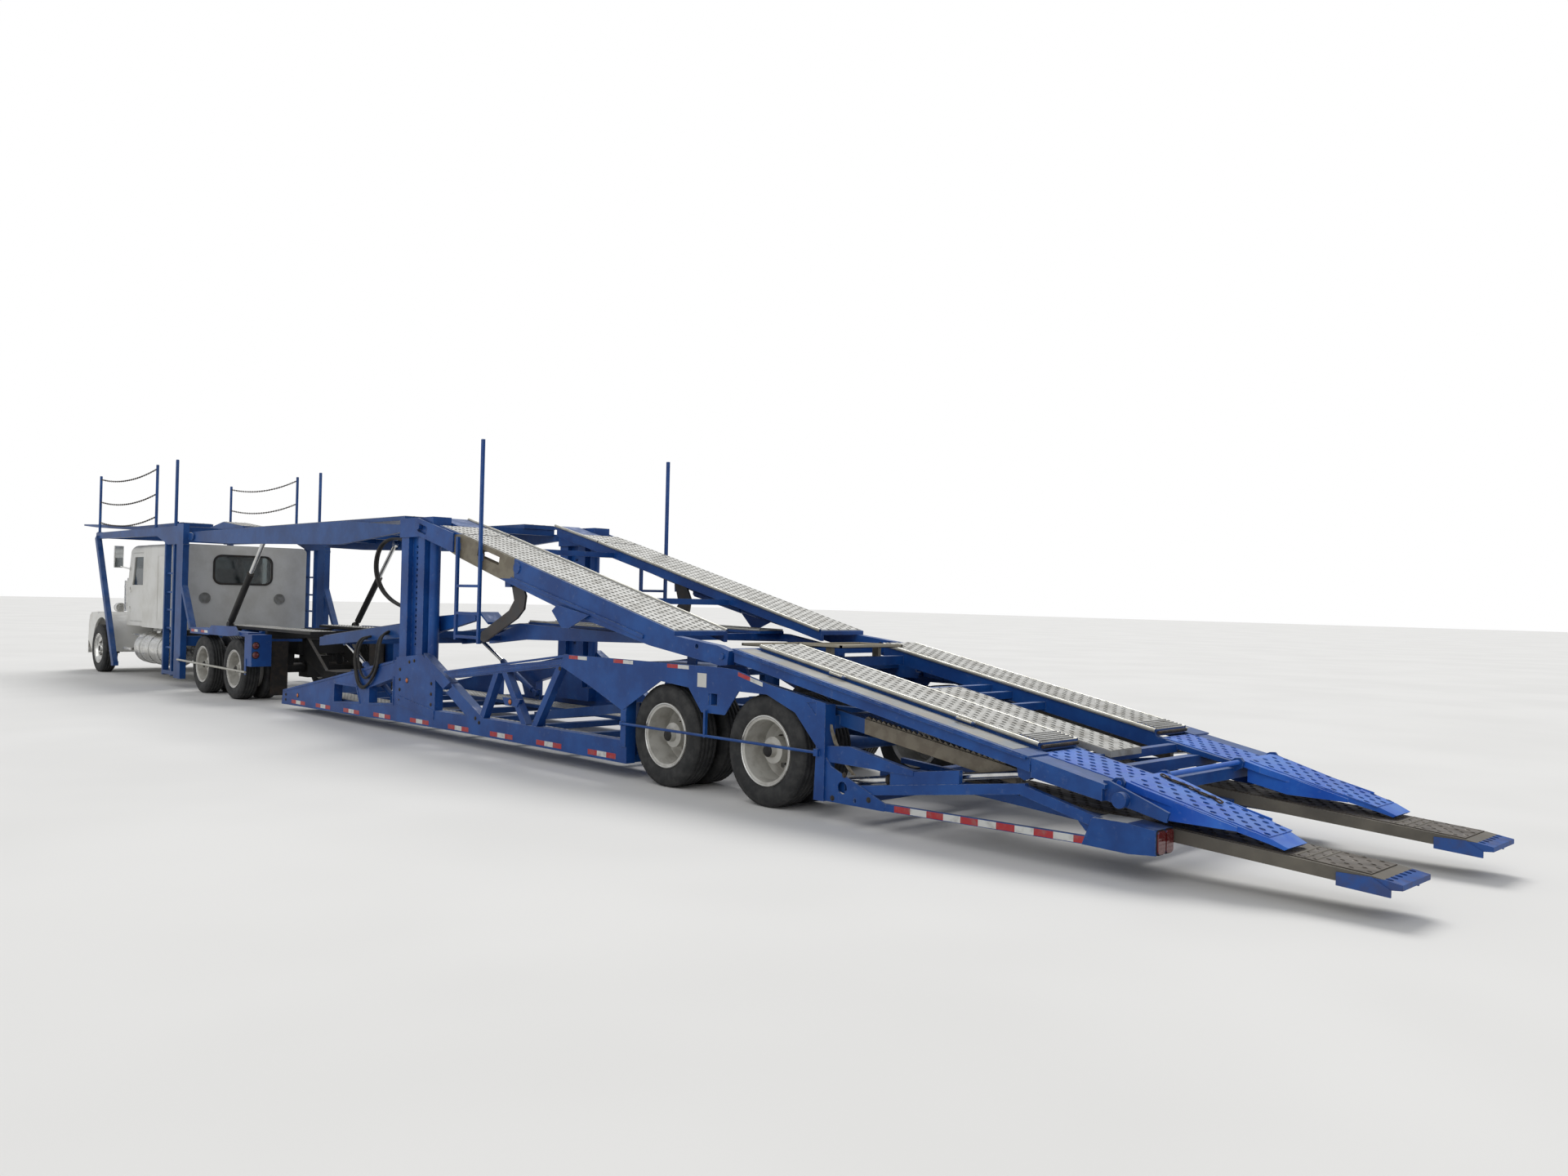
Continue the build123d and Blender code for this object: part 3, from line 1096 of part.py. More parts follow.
NODES = {
    "tractor_frame": tractor_frame() + low_rear_deck(),
    "engine_block": engine_block(),
    "cab_shell": cab_shell(),
    "sleeper_shell": sleeper_shell(),
    "cab_interior": cab_interior(),
    "cab_glass": cab_glass(),
    "door_left": door_panel(),
    "door_right": other_side(door_panel()),
    "door_glass_left": door_glass(),
    "door_glass_right": other_side(door_glass()),
    "hood_shell": hood_shell(),
    "grille_and_headlamps": grille_and_headlamps(),
    "front_bumper": front_bumper(),
    "fuel_tanks": fuel_tanks(),
    "air_cleaners": air_cleaners(),
    "mirrors": mirrors(),
    "headrack_frame": headrack_frame(),
    "headrack_deck": headrack_deck(),
    "guard_posts": guard_posts(),
    "drive_fenders": drive_fenders(),
    "tractor_deck": tractor_deck(),
    "deck_lift_barrels": both(deck_barrel),
    "deck_lift_rods": both(deck_rod),
    "knuckle_left": knuckle(),
    "knuckle_right": other_side(knuckle()),
    "trailer_side_left": trailer_side(),
    "trailer_side_right": other_side(trailer_side()),
    "trailer_floor": trailer_floor() + coupling_pin() + deck_rest() + other_side(deck_rest()),
    "trailer_tail": trailer_tail(),
    "post_carriages": post_carriages(),
    "upper_deck": upper_deck(),
    "middle_deck": middle_deck(),
    "rear_deck": rear_deck(),
    "flip_ramps": flip_ramps(),
    "slide_ramps": slide_ramps(),
    "rear_lift_barrels": both(rear_barrel),
    "rear_lift_rods": both(rear_rod),
    "neck_deck": neck_deck(),
    "neck_lift_barrels": both(neck_barrel),
    "neck_lift_rods": both(neck_rod),
}

AXLES = {"drive_front": DRIVE_X[0], "drive_rear": DRIVE_X[1], "trailer_front": TRAILER_X[0], "trailer_rear": TRAILER_X[1]}
LEFT = {"steer_tyre": steer_tyre(), "steer_rim": steer_rim()}
for axle, place in AXLES.items():
    LEFT[axle + "_tyre"] = twin_tyres(place)
    LEFT[axle + "_rim"] = twin_rims(place)
for name, shape in LEFT.items():
    NODES[name + "_left"] = shape
    NODES[name + "_right"] = other_side(shape)

os.makedirs("parts", exist_ok=True)
for name, shape in NODES.items():
    moved = [Pos(-ORIGIN_X, 0, 0) * solid for solid in shape.solids()]
    export_step(Compound(moved), f"parts/{name}.step")
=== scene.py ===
"""Looks of a car transporter lorry: finishes, wheels, deck tracks, lamps and fittings over the frame."""

from dataclasses import dataclass, field, replace
from enum import Enum
import logging
import math
from typing import Iterable, Sequence

import bpy
from mathutils import Matrix, Vector


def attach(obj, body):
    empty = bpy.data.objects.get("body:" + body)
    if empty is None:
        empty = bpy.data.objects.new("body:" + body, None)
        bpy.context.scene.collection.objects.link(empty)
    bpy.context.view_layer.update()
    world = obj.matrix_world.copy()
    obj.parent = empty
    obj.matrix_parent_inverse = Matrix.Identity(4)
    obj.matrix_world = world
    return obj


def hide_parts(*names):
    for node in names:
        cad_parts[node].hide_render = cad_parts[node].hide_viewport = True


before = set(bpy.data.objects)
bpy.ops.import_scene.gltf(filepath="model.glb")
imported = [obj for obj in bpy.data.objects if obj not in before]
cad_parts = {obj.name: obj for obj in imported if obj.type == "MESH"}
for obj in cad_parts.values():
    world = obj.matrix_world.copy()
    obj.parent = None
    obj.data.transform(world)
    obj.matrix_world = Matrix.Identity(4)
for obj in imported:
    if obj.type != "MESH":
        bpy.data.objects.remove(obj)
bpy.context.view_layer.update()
LOG = logging.getLogger("car_transporter")

Point = Sequence[float]
Pair = tuple[float, float]
Tree = bpy.types.NodeTree
Node = bpy.types.Node
Socket = bpy.types.NodeSocket

ORIGIN_X = 7.870
"""Distance from the trailer's rear axle, from which X is measured below, to the frame's origin."""

SIDES = (1, -1)
"""Signs of Y on the lorry's left and right."""


def at(x: float, y: float, z: float) -> Vector:
    """Point of the frame from metres measured from the trailer's rear axle."""
    return Vector((x - ORIGIN_X, y, z))


def linear(hex_colour: str) -> tuple[float, float, float, float]:
    """Turn an sRGB hex colour into linear RGBA.

    Args:
        hex_colour: six hex digits.

    Returns:
        Linear red, green, blue and an alpha of 1.
    """
    parts = [int(hex_colour[i:i + 2], 16) / 255 for i in (0, 2, 4)]
    values = [c / 12.92 if c <= 0.04045 else ((c + 0.055) / 1.055) ** 2.4 for c in parts]
    return (values[0], values[1], values[2], 1.0)


def per_metre(size_mm: float) -> float:
    """Texture scale for a pattern whose features are this many millimetres across."""
    return 1000.0 / size_mm


# Node helpers


def feed(tree: Tree, node: Node, inputs: dict) -> None:
    """Set a node's inputs.

    Args:
        tree: the node tree.
        node: the node that takes them.
        inputs: socket name or index to a value or to another node's output socket.
    """
    for key, value in inputs.items():
        if isinstance(value, Socket):
            tree.links.new(value, node.inputs[key])
        else:
            node.inputs[key].default_value = value


def add_node(tree: Tree, kind: str, inputs: dict | None = None, **settings) -> Node:
    """Add a node with its settings, its constant inputs and its links.

    Args:
        tree: the node tree.
        kind: Blender's node type.
        inputs: what `feed` puts into it.
        **settings: properties of the node.

    Returns:
        The new node.
    """
    node = tree.nodes.new(kind)
    for key, value in settings.items():
        setattr(node, key, value)
    feed(tree, node, inputs or {})
    return node


def pattern(tree: Tree, kind: str, size_mm: float, inputs: dict | None = None, output: str = "Fac",
            **settings) -> Socket:
    """Texture that is fixed to the piece.

    Args:
        tree: the material's node tree.
        kind: Blender's texture node type.
        size_mm: size of its features in millimetres.
        inputs: its other inputs.
        output: which of its outputs is wanted.
        **settings: properties of the node.

    Returns:
        That output's socket.
    """
    place = add_node(tree, "ShaderNodeTexCoord").outputs["Object"]
    node = add_node(tree, kind, {"Vector": place, "Scale": per_metre(size_mm), **(inputs or {})}, **settings)
    return node.outputs[output]


def remap(tree: Tree, value: Socket, low: float, high: float, end: str = "To", **settings) -> Socket:
    """Value stretched to two limits, or from them where `end` is "From"."""
    limits = {"Value": value, f"{end} Min": low, f"{end} Max": high}
    return add_node(tree, "ShaderNodeMapRange", limits, **settings).outputs["Result"]


def spots(tree: Tree, size_mm: float, low: float, high: float, detail: float = 4.0,
          squash: Point = (1, 1, 1)) -> Socket:
    """Soft-edged random patches fixed to the piece.

    Args:
        tree: the material's node tree.
        size_mm: size of the patches in millimetres.
        low: noise value where a patch begins.
        high: noise value where it is full.
        detail: how many finer layers the noise has.
        squash: scale along X, Y and Z, for streaks.

    Returns:
        A socket from 0, outside a patch, to 1, inside it.
    """
    place = add_node(tree, "ShaderNodeTexCoord").outputs["Object"]
    mapped = add_node(tree, "ShaderNodeMapping", {"Vector": place, "Scale": squash}).outputs["Vector"]
    noise = add_node(tree, "ShaderNodeTexNoise", {
        "Vector": mapped, "Scale": per_metre(size_mm), "Detail": detail, "Roughness": 0.6})
    return remap(tree, noise.outputs["Fac"], low, high, "From", interpolation_type="SMOOTHSTEP")


def mix_colour(tree: Tree, share: float | Socket, first: str | Socket, second: str | Socket) -> Socket:
    """Colour mixed between two colours by a share.

    Args:
        tree: the material's node tree.
        share: value or socket, 0 for the first and 1 for the second.
        first: hex colour or socket.
        second: hex colour or socket.

    Returns:
        The mixed colour's socket.
    """
    first, second = (linear(colour) if isinstance(colour, str) else colour for colour in (first, second))
    return add_node(tree, "ShaderNodeMix", {0: share, 6: first, 7: second}, data_type="RGBA").outputs[2]


def times(tree: Tree, first: float | Socket, second: float | Socket, operation: str = "MULTIPLY") -> Socket:
    """Two values put through one sum, a product unless told otherwise."""
    return add_node(tree, "ShaderNodeMath", {0: first, 1: second}, operation=operation).outputs[0]


def facing_up(tree: Tree, low: float = 0.2, high: float = 0.95) -> Socket:
    """Share by which a surface faces the sky, where dust settles.

    Args:
        tree: the material's node tree.
        low: height of the normal where the share begins.
        high: height of the normal where it is full.

    Returns:
        The share's socket.
    """
    normal = add_node(tree, "ShaderNodeNewGeometry").outputs["Normal"]
    parts = add_node(tree, "ShaderNodeSeparateXYZ", {"Vector": normal})
    return remap(tree, parts.outputs["Z"], low, high, "From")


def rounded_normal(tree: Tree, radius_mm: float) -> Socket:
    """Normal that turns round the edges as if they had this radius."""
    return add_node(tree, "ShaderNodeBevel", {"Radius": radius_mm / 1000}, samples=4).outputs["Normal"]


def rubbed_edge(tree: Tree, radius_mm: float) -> Socket:
    """Share by which a point lies on an edge, from how a rounded edge would turn its normal.

    Args:
        tree: the material's node tree.
        radius_mm: width of the edge in millimetres.

    Returns:
        The share's socket.
    """
    normal = add_node(tree, "ShaderNodeNewGeometry").outputs["Normal"]
    dot = add_node(tree, "ShaderNodeVectorMath", {0: rounded_normal(tree, radius_mm), 1: normal},
                   operation="DOT_PRODUCT")
    return remap(tree, dot.outputs["Value"], 0.99, 0.86, "From")


def emboss(tree: Tree, shader: Node, height: Socket, strength: float, distance_mm: float,
           normal: Socket | None = None) -> None:
    """Bump the shader's normal.

    Args:
        tree: the material's node tree.
        shader: the shader that takes the normal.
        height: pattern from low to high.
        strength: how strongly it shows.
        distance_mm: how deep it is, in millimetres.
        normal: the normal that it starts from, or none for the surface's own.
    """
    inputs = {"Height": height, "Strength": strength, "Distance": distance_mm / 1000}
    if normal is not None:
        inputs["Normal"] = normal
    feed(tree, shader, {"Normal": add_node(tree, "ShaderNodeBump", inputs).outputs["Normal"]})


# Finishes


@dataclass(frozen=True)
class Finish:
    """A finish that can be put on a piece; each kind of surface shades itself."""

    name: str

    def material(self) -> bpy.types.Material:
        """Make the finish's material at its first use.

        Returns:
            The material, the same one each time.
        """
        found = bpy.data.materials.get(self.name)
        if found:
            return found
        made = bpy.data.materials.new(self.name)
        made.use_nodes = True
        tree = made.node_tree
        tree.nodes.clear()
        shader = add_node(tree, "ShaderNodeBsdfPrincipled")
        add_node(tree, "ShaderNodeOutputMaterial", {"Surface": shader.outputs["BSDF"]})
        self.shade(tree, shader)
        return made

    def shade(self, tree: Tree, shader: Node) -> None:
        """Set the shader up; each finish has its own way.

        Args:
            tree: the material's node tree.
            shader: the shader that it ends in.
        """
        raise NotImplementedError


@dataclass(frozen=True)
class Zone:
    """A block of a piece that shows another colour, on both sides of the lorry.

    Its corners are (X, distance from the middle, Z) in metres, X from the trailer's rear axle.
    """

    low: Point
    high: Point
    colour: str

    def share(self, tree: Tree) -> Socket:
        """Tell the block's inside from its outside.

        Args:
            tree: the material's node tree.

        Returns:
            A socket that is 1 inside the block and 0 outside it.
        """
        place = add_node(tree, "ShaderNodeTexCoord").outputs["Object"]
        parts = add_node(tree, "ShaderNodeSeparateXYZ", {"Vector": place}).outputs
        width = times(tree, parts["Y"], 0.0, "ABSOLUTE")
        shift = (ORIGIN_X, 0.0, 0.0)
        total = None
        for value, low, high, less in zip((parts["X"], width, parts["Z"]), self.low, self.high, shift):
            within = times(tree, times(tree, value, low - less, "GREATER_THAN"),
                           times(tree, value, high - less, "LESS_THAN"))
            total = within if total is None else times(tree, total, within)
        return total


@dataclass(frozen=True)
class PaintedSteel(Finish):
    """Brushed-on or sprayed gloss paint on steel plate, chalky with dust and rubbed at its edges."""

    colour: str = "0F3977"
    faded: str = "184C90"
    dust: str = "7F8792"
    edge: str = "93A0AE"
    rust: str = "4A3B2F"
    dust_share: float = 0.42
    splash_share: float = 0.14
    edge_share: float = 0.6
    roughness: float = 0.42
    dusty_roughness: float = 0.85
    zones: tuple[Zone, ...] = ()

    def shade(self, tree: Tree, shader: Node) -> None:
        """Fade the paint in patches, dust what faces up, rub the edges and keep a faint orange peel.

        Args:
            tree: the material's node tree.
            shader: the shader that it ends in.
        """
        fade = mix_colour(tree, spots(tree, 420, 0.35, 0.7), self.colour, self.faded)
        dusty = times(tree, facing_up(tree), spots(tree, 160, 0.3, 0.62, 6))
        dusted = mix_colour(tree, times(tree, dusty, self.dust_share), fade, self.dust)
        splash = times(tree, spots(tree, 55, 0.58, 0.74, 8), self.splash_share)
        rubbed = times(tree, rubbed_edge(tree, 5), spots(tree, 45, 0.42, 0.6))
        grimed = mix_colour(tree, splash, dusted, self.dust)
        worn = mix_colour(tree, times(tree, rubbed, self.edge_share), grimed, self.edge)
        for zone in self.zones:
            rust = mix_colour(tree, spots(tree, 110, 0.42, 0.62, 6), zone.colour, self.rust)
            worn = mix_colour(tree, zone.share(tree), worn, mix_colour(tree, 0.35, zone.colour, rust))
        feed(tree, shader, {"Base Color": worn, "Specular IOR Level": 0.32,
                            "Roughness": remap(tree, dusty, self.roughness, self.dusty_roughness)})
        peel = pattern(tree, "ShaderNodeTexNoise", 14, {"Detail": 3.0})
        emboss(tree, shader, peel, 0.12, 2, rounded_normal(tree, 3))


@dataclass(frozen=True)
class BareMetal(Finish):
    """Mill-finished or polished metal with its oxide, dirt and scratches along X."""

    colour: str = "B7B8B6"
    dirt: str = "6F675C"
    dirt_share: float = 0.5
    metallic: float = 1.0
    smooth: float = 0.28
    dull: float = 0.6

    def shade(self, tree: Tree, shader: Node) -> None:
        """Lay dirt in patches over the metal, and let its roughness vary in streaks.

        Args:
            tree: the material's node tree.
            shader: the shader that it ends in.
        """
        grime = times(tree, spots(tree, 130, 0.42, 0.66, 7), self.dirt_share)
        streak = spots(tree, 60, 0.3, 0.7, 5, (0.15, 1, 1))
        feed(tree, shader, {"Base Color": mix_colour(tree, grime, self.colour, self.dirt),
                            "Metallic": self.metallic,
                            "Roughness": remap(tree, streak, self.smooth, self.dull)})
        emboss(tree, shader, pattern(tree, "ShaderNodeTexNoise", 9, {"Detail": 4.0}), 0.1, 1)


@dataclass(frozen=True)
class MouldedRubber(Finish):
    """Vulcanised rubber, grey where road dust holds in its grain."""

    colour: str = "191A1B"
    dust: str = "4B4A48"
    dust_share: float = 0.42

    def shade(self, tree: Tree, shader: Node) -> None:
        """Dust the rubber in patches and give it a fine grain.

        Args:
            tree: the material's node tree.
            shader: the shader that it ends in.
        """
        patches = times(tree, spots(tree, 90, 0.35, 0.7, 7), self.dust_share)
        feed(tree, shader, {"Base Color": mix_colour(tree, patches, self.colour, self.dust),
                            "Roughness": 0.78})
        emboss(tree, shader, pattern(tree, "ShaderNodeTexNoise", 6, {"Detail": 3.0}), 0.25, 2)


@dataclass(frozen=True)
class PrismTape(Finish):
    """Embossed prismatic reflective tape, scuffed and dusty."""

    colour: str = "C9CAC6"
    dirt: str = "7A746C"

    def shade(self, tree: Tree, shader: Node) -> None:
        """One colour under dirt, with the prisms' bump; they are 2 mm, drawn 7 mm wide so that they show.

        Args:
            tree: the material's node tree.
            shader: the shader that it ends in.
        """
        dirt = times(tree, spots(tree, 70, 0.45, 0.75, 6), 0.5)
        feed(tree, shader, {"Base Color": mix_colour(tree, dirt, self.colour, self.dirt), "Roughness": 0.35})
        prisms = pattern(tree, "ShaderNodeTexVoronoi", 7, output="Distance", feature="DISTANCE_TO_EDGE")
        emboss(tree, shader, prisms, 0.15, 1)


@dataclass(frozen=True)
class WovenWebbing(Finish):
    """Woven polyester lashing strap, grey with road dirt."""

    colour: str = "8B8478"
    dirt: str = "57503F"

    def shade(self, tree: Tree, shader: Node) -> None:
        """Ribs of the weave across the strap; they are 1.5 mm, drawn 5 mm wide so that they show.

        Args:
            tree: the material's node tree.
            shader: the shader that it ends in.
        """
        dirt = spots(tree, 60, 0.35, 0.7, 6)
        feed(tree, shader, {"Base Color": mix_colour(tree, dirt, self.colour, self.dirt), "Roughness": 0.9})
        ribs = pattern(tree, "ShaderNodeTexWave", 5 * math.tau, bands_direction="X")
        emboss(tree, shader, ribs, 0.4, 1)


@dataclass(frozen=True)
class MouldedLens(Finish):
    """Moulded acrylic lamp lens with ribs."""

    colour: str = "5C0A12"
    dirt: str = "8E8078"
    roughness: float = 0.18

    def shade(self, tree: Tree, shader: Node) -> None:
        """Deep colour under a glossy ribbed face.

        Args:
            tree: the material's node tree.
            shader: the shader that it ends in.
        """
        glow = mix_colour(tree, spots(tree, 25, 0.4, 0.7), self.colour, self.dirt)
        feed(tree, shader, {"Base Color": mix_colour(tree, 0.15, self.colour, glow),
                            "Roughness": self.roughness, "Coat Weight": 0.4})
        ribs = pattern(tree, "ShaderNodeTexWave", 12 * math.tau, bands_direction="Z")
        emboss(tree, shader, ribs, 0.3, 2)


@dataclass(frozen=True)
class TintedGlass(Finish):
    """Float glass with a light tint and a film of dust."""

    colour: str = "5E6A6C"
    film: str = "A09A90"

    def shade(self, tree: Tree, shader: Node) -> None:
        """Clear glass whose film of dust makes it rougher in patches.

        Args:
            tree: the material's node tree.
            shader: the shader that it ends in.
        """
        film = spots(tree, 150, 0.4, 0.75, 6)
        feed(tree, shader, {"Base Color": mix_colour(tree, times(tree, film, 0.25), self.colour, self.film),
                            "Transmission Weight": 0.85, "IOR": 1.5,
                            "Roughness": remap(tree, film, 0.03, 0.22)})


@dataclass(frozen=True)
class GroundSlab(Finish):
    """Plain pale floor that shows white to the camera and keeps the lorry's shadow."""

    def shade(self, tree: Tree, shader: Node) -> None:
        """A matt off-white.

        Args:
            tree: the material's node tree.
            shader: the shader that it ends in.
        """
        tint = mix_colour(tree, spots(tree, 3000, 0.3, 0.7, 2), "D9D7D3", "DEDCD8")
        feed(tree, shader, {"Base Color": tint, "Roughness": 0.9})


# Deep gloss blue of the trailer: faded in patches, grey where dust lies, pale where its edges are rubbed.
BLUE_PAINT = PaintedSteel("deep_blue_gloss_paint_on_steel")
# Fresher, brighter blue of the flip ramps, which stand out from the rest of the trailer.
BRIGHT_BLUE = PaintedSteel("bright_blue_gloss_paint_on_steel", colour="174FB0", faded="2F6BC6", dust="8FA3C6",
                           dust_share=0.4)
# Greyer blue of what stands high or inside, a shaded copy of the trailer's paint: painted shade, so that it
# falls back behind the trailer's sides.
RACK_BLUE = PaintedSteel("shaded_blue_gloss_paint_on_steel", colour="123A70", faded="1D4B88", dust_share=0.45)
# The same shaded blue, painted shade as above, with the brown bare steel of the deck rest that weather has
# stripped.
FLOOR_BLUE = replace(RACK_BLUE, name="shaded_blue_paint_and_bare_rest", zones=(
    Zone((-2.36, 1.03, 0.44), (-0.96, 1.10, 0.84), "7D7566"),))
# The trailer's blue with the beam inside its window left bare and brown.
UPPER_BLUE = PaintedSteel("blue_gloss_paint_and_bare_beam", zones=(
    Zone((3.85, 1.155, 1.85), (5.16, 1.254, 2.34), "77705F"),))
# The trailer's blue with near-black arms, which read as a dark hook behind the truss.
HOOK_BLUE = PaintedSteel("blue_paint_and_dark_hook_arms", zones=(
    Zone((3.70, 1.105, 1.10), (4.80, 1.140, 1.90), "3B3A3A"),))
# The trailer's blue over the fenders, and matt black for the rubber flaps below.
FENDER_BLUE = PaintedSteel("blue_paint_and_rubber_flaps", zones=(
    Zone((11.17, 0.63, 0.07), (11.21, 0.90, 0.895), "211F1D"),))
# Brown-grey worn steel under the wheels that climb it, with the painted blue end of each ramp.
SLIDE_STEEL = PaintedSteel(
    "bare_slide_beam_and_blue_end", colour="56524B", faded="6B665C", dust="7A746A", edge="8A857B",
    dust_share=0.5, edge_share=0.4, roughness=0.6, zones=(
        Zone((-4.81, 0.560, 0.10), (-4.645, 1.045, 0.24), "2B4F8E"),
        Zone((-4.76, 0.575, 0.10), (-4.44, 0.5875, 0.26), "2B4F8E"),
        Zone((-4.76, 1.0275, 0.10), (-4.44, 1.040, 0.26), "2B4F8E")))
# Warm white enamel of the cab, dulled by dust, with hardly any rubbed edge.
CAB_WHITE = PaintedSteel("dusty_white_enamel_on_sheet", colour="D9D8D3", faded="CCCAC3", dust="A8A198",
                         edge="8B867E", dust_share=0.3, edge_share=0.2, roughness=0.35)
# A shade greyer than the cab, with the black pane of the rear window and the grey mesh of the vents.
SLEEPER_WHITE = replace(CAB_WHITE, name="dusty_white_sleeper_enamel", colour="D4D3CE", faded="C4C2BB", zones=(
    Zone((14.83, 0.0, 1.72), (14.8595, 0.53, 2.29), "1C1C1C"),
    Zone((14.83, 0.53, 1.39), (14.8595, 0.75, 1.61), "8E8E8A")))
# Blank white square on the trailer's side, chalky and without any sign.
PLACARD = PaintedSteel("blank_white_enamel_placard", colour="C9C8C2", faded="BDBBB2", dust="A29A8E",
                       edge="8B867E", dust_share=0.3, edge_share=0.2)
# Flat beige of the pressed trays, duller than anything round it.
TRAY_BEIGE = PaintedSteel("beige_primer_on_pressed_tray", colour="A59E8D", faded="938C7C", dust="B0A898",
                          edge="7E776A", dust_share=0.5, edge_share=0.35, roughness=0.6)
# Semi-matt black of the chassis, brown with dust on top.
CHASSIS_BLACK = PaintedSteel("black_chassis_enamel_on_steel", colour="1A1A1B", faded="2A2927", dust="6B645B",
                             edge="5A5650", dust_share=0.6, edge_share=0.3, roughness=0.55)
# Deck plate beside the tracks, whose paint the tyres have worn to pale grey steel.
WORN_STRIP = PaintedSteel("bare_worn_deck_plate", colour="6F7A86", faded="9A9992", dust="A8A297",
                          edge="B0B0AC", dust_share=0.75, edge_share=0.5, roughness=0.5)
# Oxidised, dusty aluminium: pale and half matt, so that the holes show by their shadow.
TRACK_ALUMINIUM = BareMetal("pressed_aluminium_track", colour="9C9B96", dirt="68645B", dirt_share=0.6,
                            metallic=0.35, smooth=0.4, dull=0.65)
# Drawn tube along the decks' edges: a soft bright line with brown patches.
TUBE_ALUMINIUM = BareMetal("drawn_aluminium_tube", colour="BAB8AE", dirt="857E70", dirt_share=0.4,
                           metallic=0.6, smooth=0.3, dull=0.5)
# Rolled steel with its brown mill scale, the darkest of the tracks.
DARK_STEEL = BareMetal("dark_rolled_steel", colour="5A544D", dirt="3A352F", dirt_share=0.7, metallic=0.6,
                       smooth=0.45, dull=0.75)
# Piston rods: a sharp mirror line along the cylinder.
CHROME = BareMetal("hard_chromed_steel", colour="D8D8D6", dirt="7A746A", dirt_share=0.25, smooth=0.08,
                   dull=0.25)
# Tanks, bumper and steer rims: clear reflections, blurred where dirt has dried on.
POLISHED = BareMetal("polished_aluminium_sheet", colour="CFCFCC", dirt="857D72", dirt_share=0.35, smooth=0.14,
                     dull=0.4)
# Light grey coated rims, half matt, with brown brake dust.
RIM_STEEL = BareMetal("powder_coated_wheel_steel", colour="BDBBB4", dirt="7A746A", dirt_share=0.45,
                      metallic=0.2, smooth=0.4, dull=0.6)
# Rough dark castings with a brown bloom of rust.
CAST_IRON = BareMetal("sand_cast_iron", colour="3B3835", dirt="5A4A3C", dirt_share=0.6, metallic=0.5,
                      smooth=0.6, dull=0.85)
# Mirror glass: takes the sky and the road.
MIRROR = BareMetal("silvered_mirror_glass", colour="D8DCDE", dirt="8A8A86", dirt_share=0.15, smooth=0.03,
                   dull=0.1)
# Tyre rubber: deep grey, lighter where dust holds in the grain.
RUBBER = MouldedRubber("vulcanised_tyre_rubber")
# Nearly black sheet under the punched holes: painted shade, which gives them their depth.
TRACK_SHADE = MouldedRubber("painted_shade_sheet_below_the_track", colour="0B0B0A", dust="24211D", dust_share=0.35)
# Hoses and bellows: black with a brown film.
HOSE_RUBBER = MouldedRubber("braided_hose_rubber", colour="161616", dust="4A443D", dust_share=0.35)
# Dark brown vinyl of the cab's inside, seen through the glass.
CAB_TRIM = MouldedRubber("moulded_cab_vinyl", colour="2B2926", dust="5C554B", dust_share=0.3)
# Red and white blocks along the trailer's lower rails, each with a faint sparkle.
RED_TAPE = PrismTape("prismatic_red_tape", "A5222A")
WHITE_TAPE = PrismTape("prismatic_white_tape")
# Slack strap: matt, ribbed and the grey of old dirt.
WEBBING = WovenWebbing("woven_polyester_webbing")
# Lamp lenses: deep colour behind a clear coat and ribs.
RED_LENS = MouldedLens("moulded_red_acrylic")
AMBER_LENS = MouldedLens("moulded_amber_acrylic", colour="B85A12")
CLEAR_LENS = MouldedLens("moulded_clear_acrylic", colour="B9BCBC", roughness=0.08)
# Panes: the cab's inside shows dimly through a green-grey tint and a film of dust.
PANE = TintedGlass("tinted_float_glass")
# Ground that the shadow falls on, and white towards the horizon.
FLOOR = GroundSlab("pale_studio_floor")


# Mesh building


def grid_faces(rows: int, lanes: int, rows_close: bool = False,
               lanes_close: bool = True) -> list[tuple[int, ...]]:
    """Quads between neighbouring rows of points.

    Args:
        rows: how many rows of points there are.
        lanes: how many points each row has.
        rows_close: whether the last row joins the first.
        lanes_close: whether each row's last point joins its first.

    Returns:
        The four point numbers of each quad.
    """
    faces = []
    for i in range(rows if rows_close else rows - 1):
        here, there = i * lanes, (i + 1) % rows * lanes
        for k in range(lanes if lanes_close else lanes - 1):
            after = (k + 1) % lanes
            faces.append((here + k, here + after, there + after, there + k))
    return faces


def ring(centre: Vector, first: Vector, second: Vector, radius: float, sides: int) -> list[Vector]:
    """Points of a circle round a centre.

    Args:
        centre: its middle.
        first: direction of the first point.
        second: direction of the point a quarter turn on.
        radius: its radius in metres.
        sides: how many points it has.

    Returns:
        The points.
    """
    angles = [2 * math.pi * k / sides for k in range(sides)]
    return [centre + (first * math.cos(a) + second * math.sin(a)) * radius for a in angles]


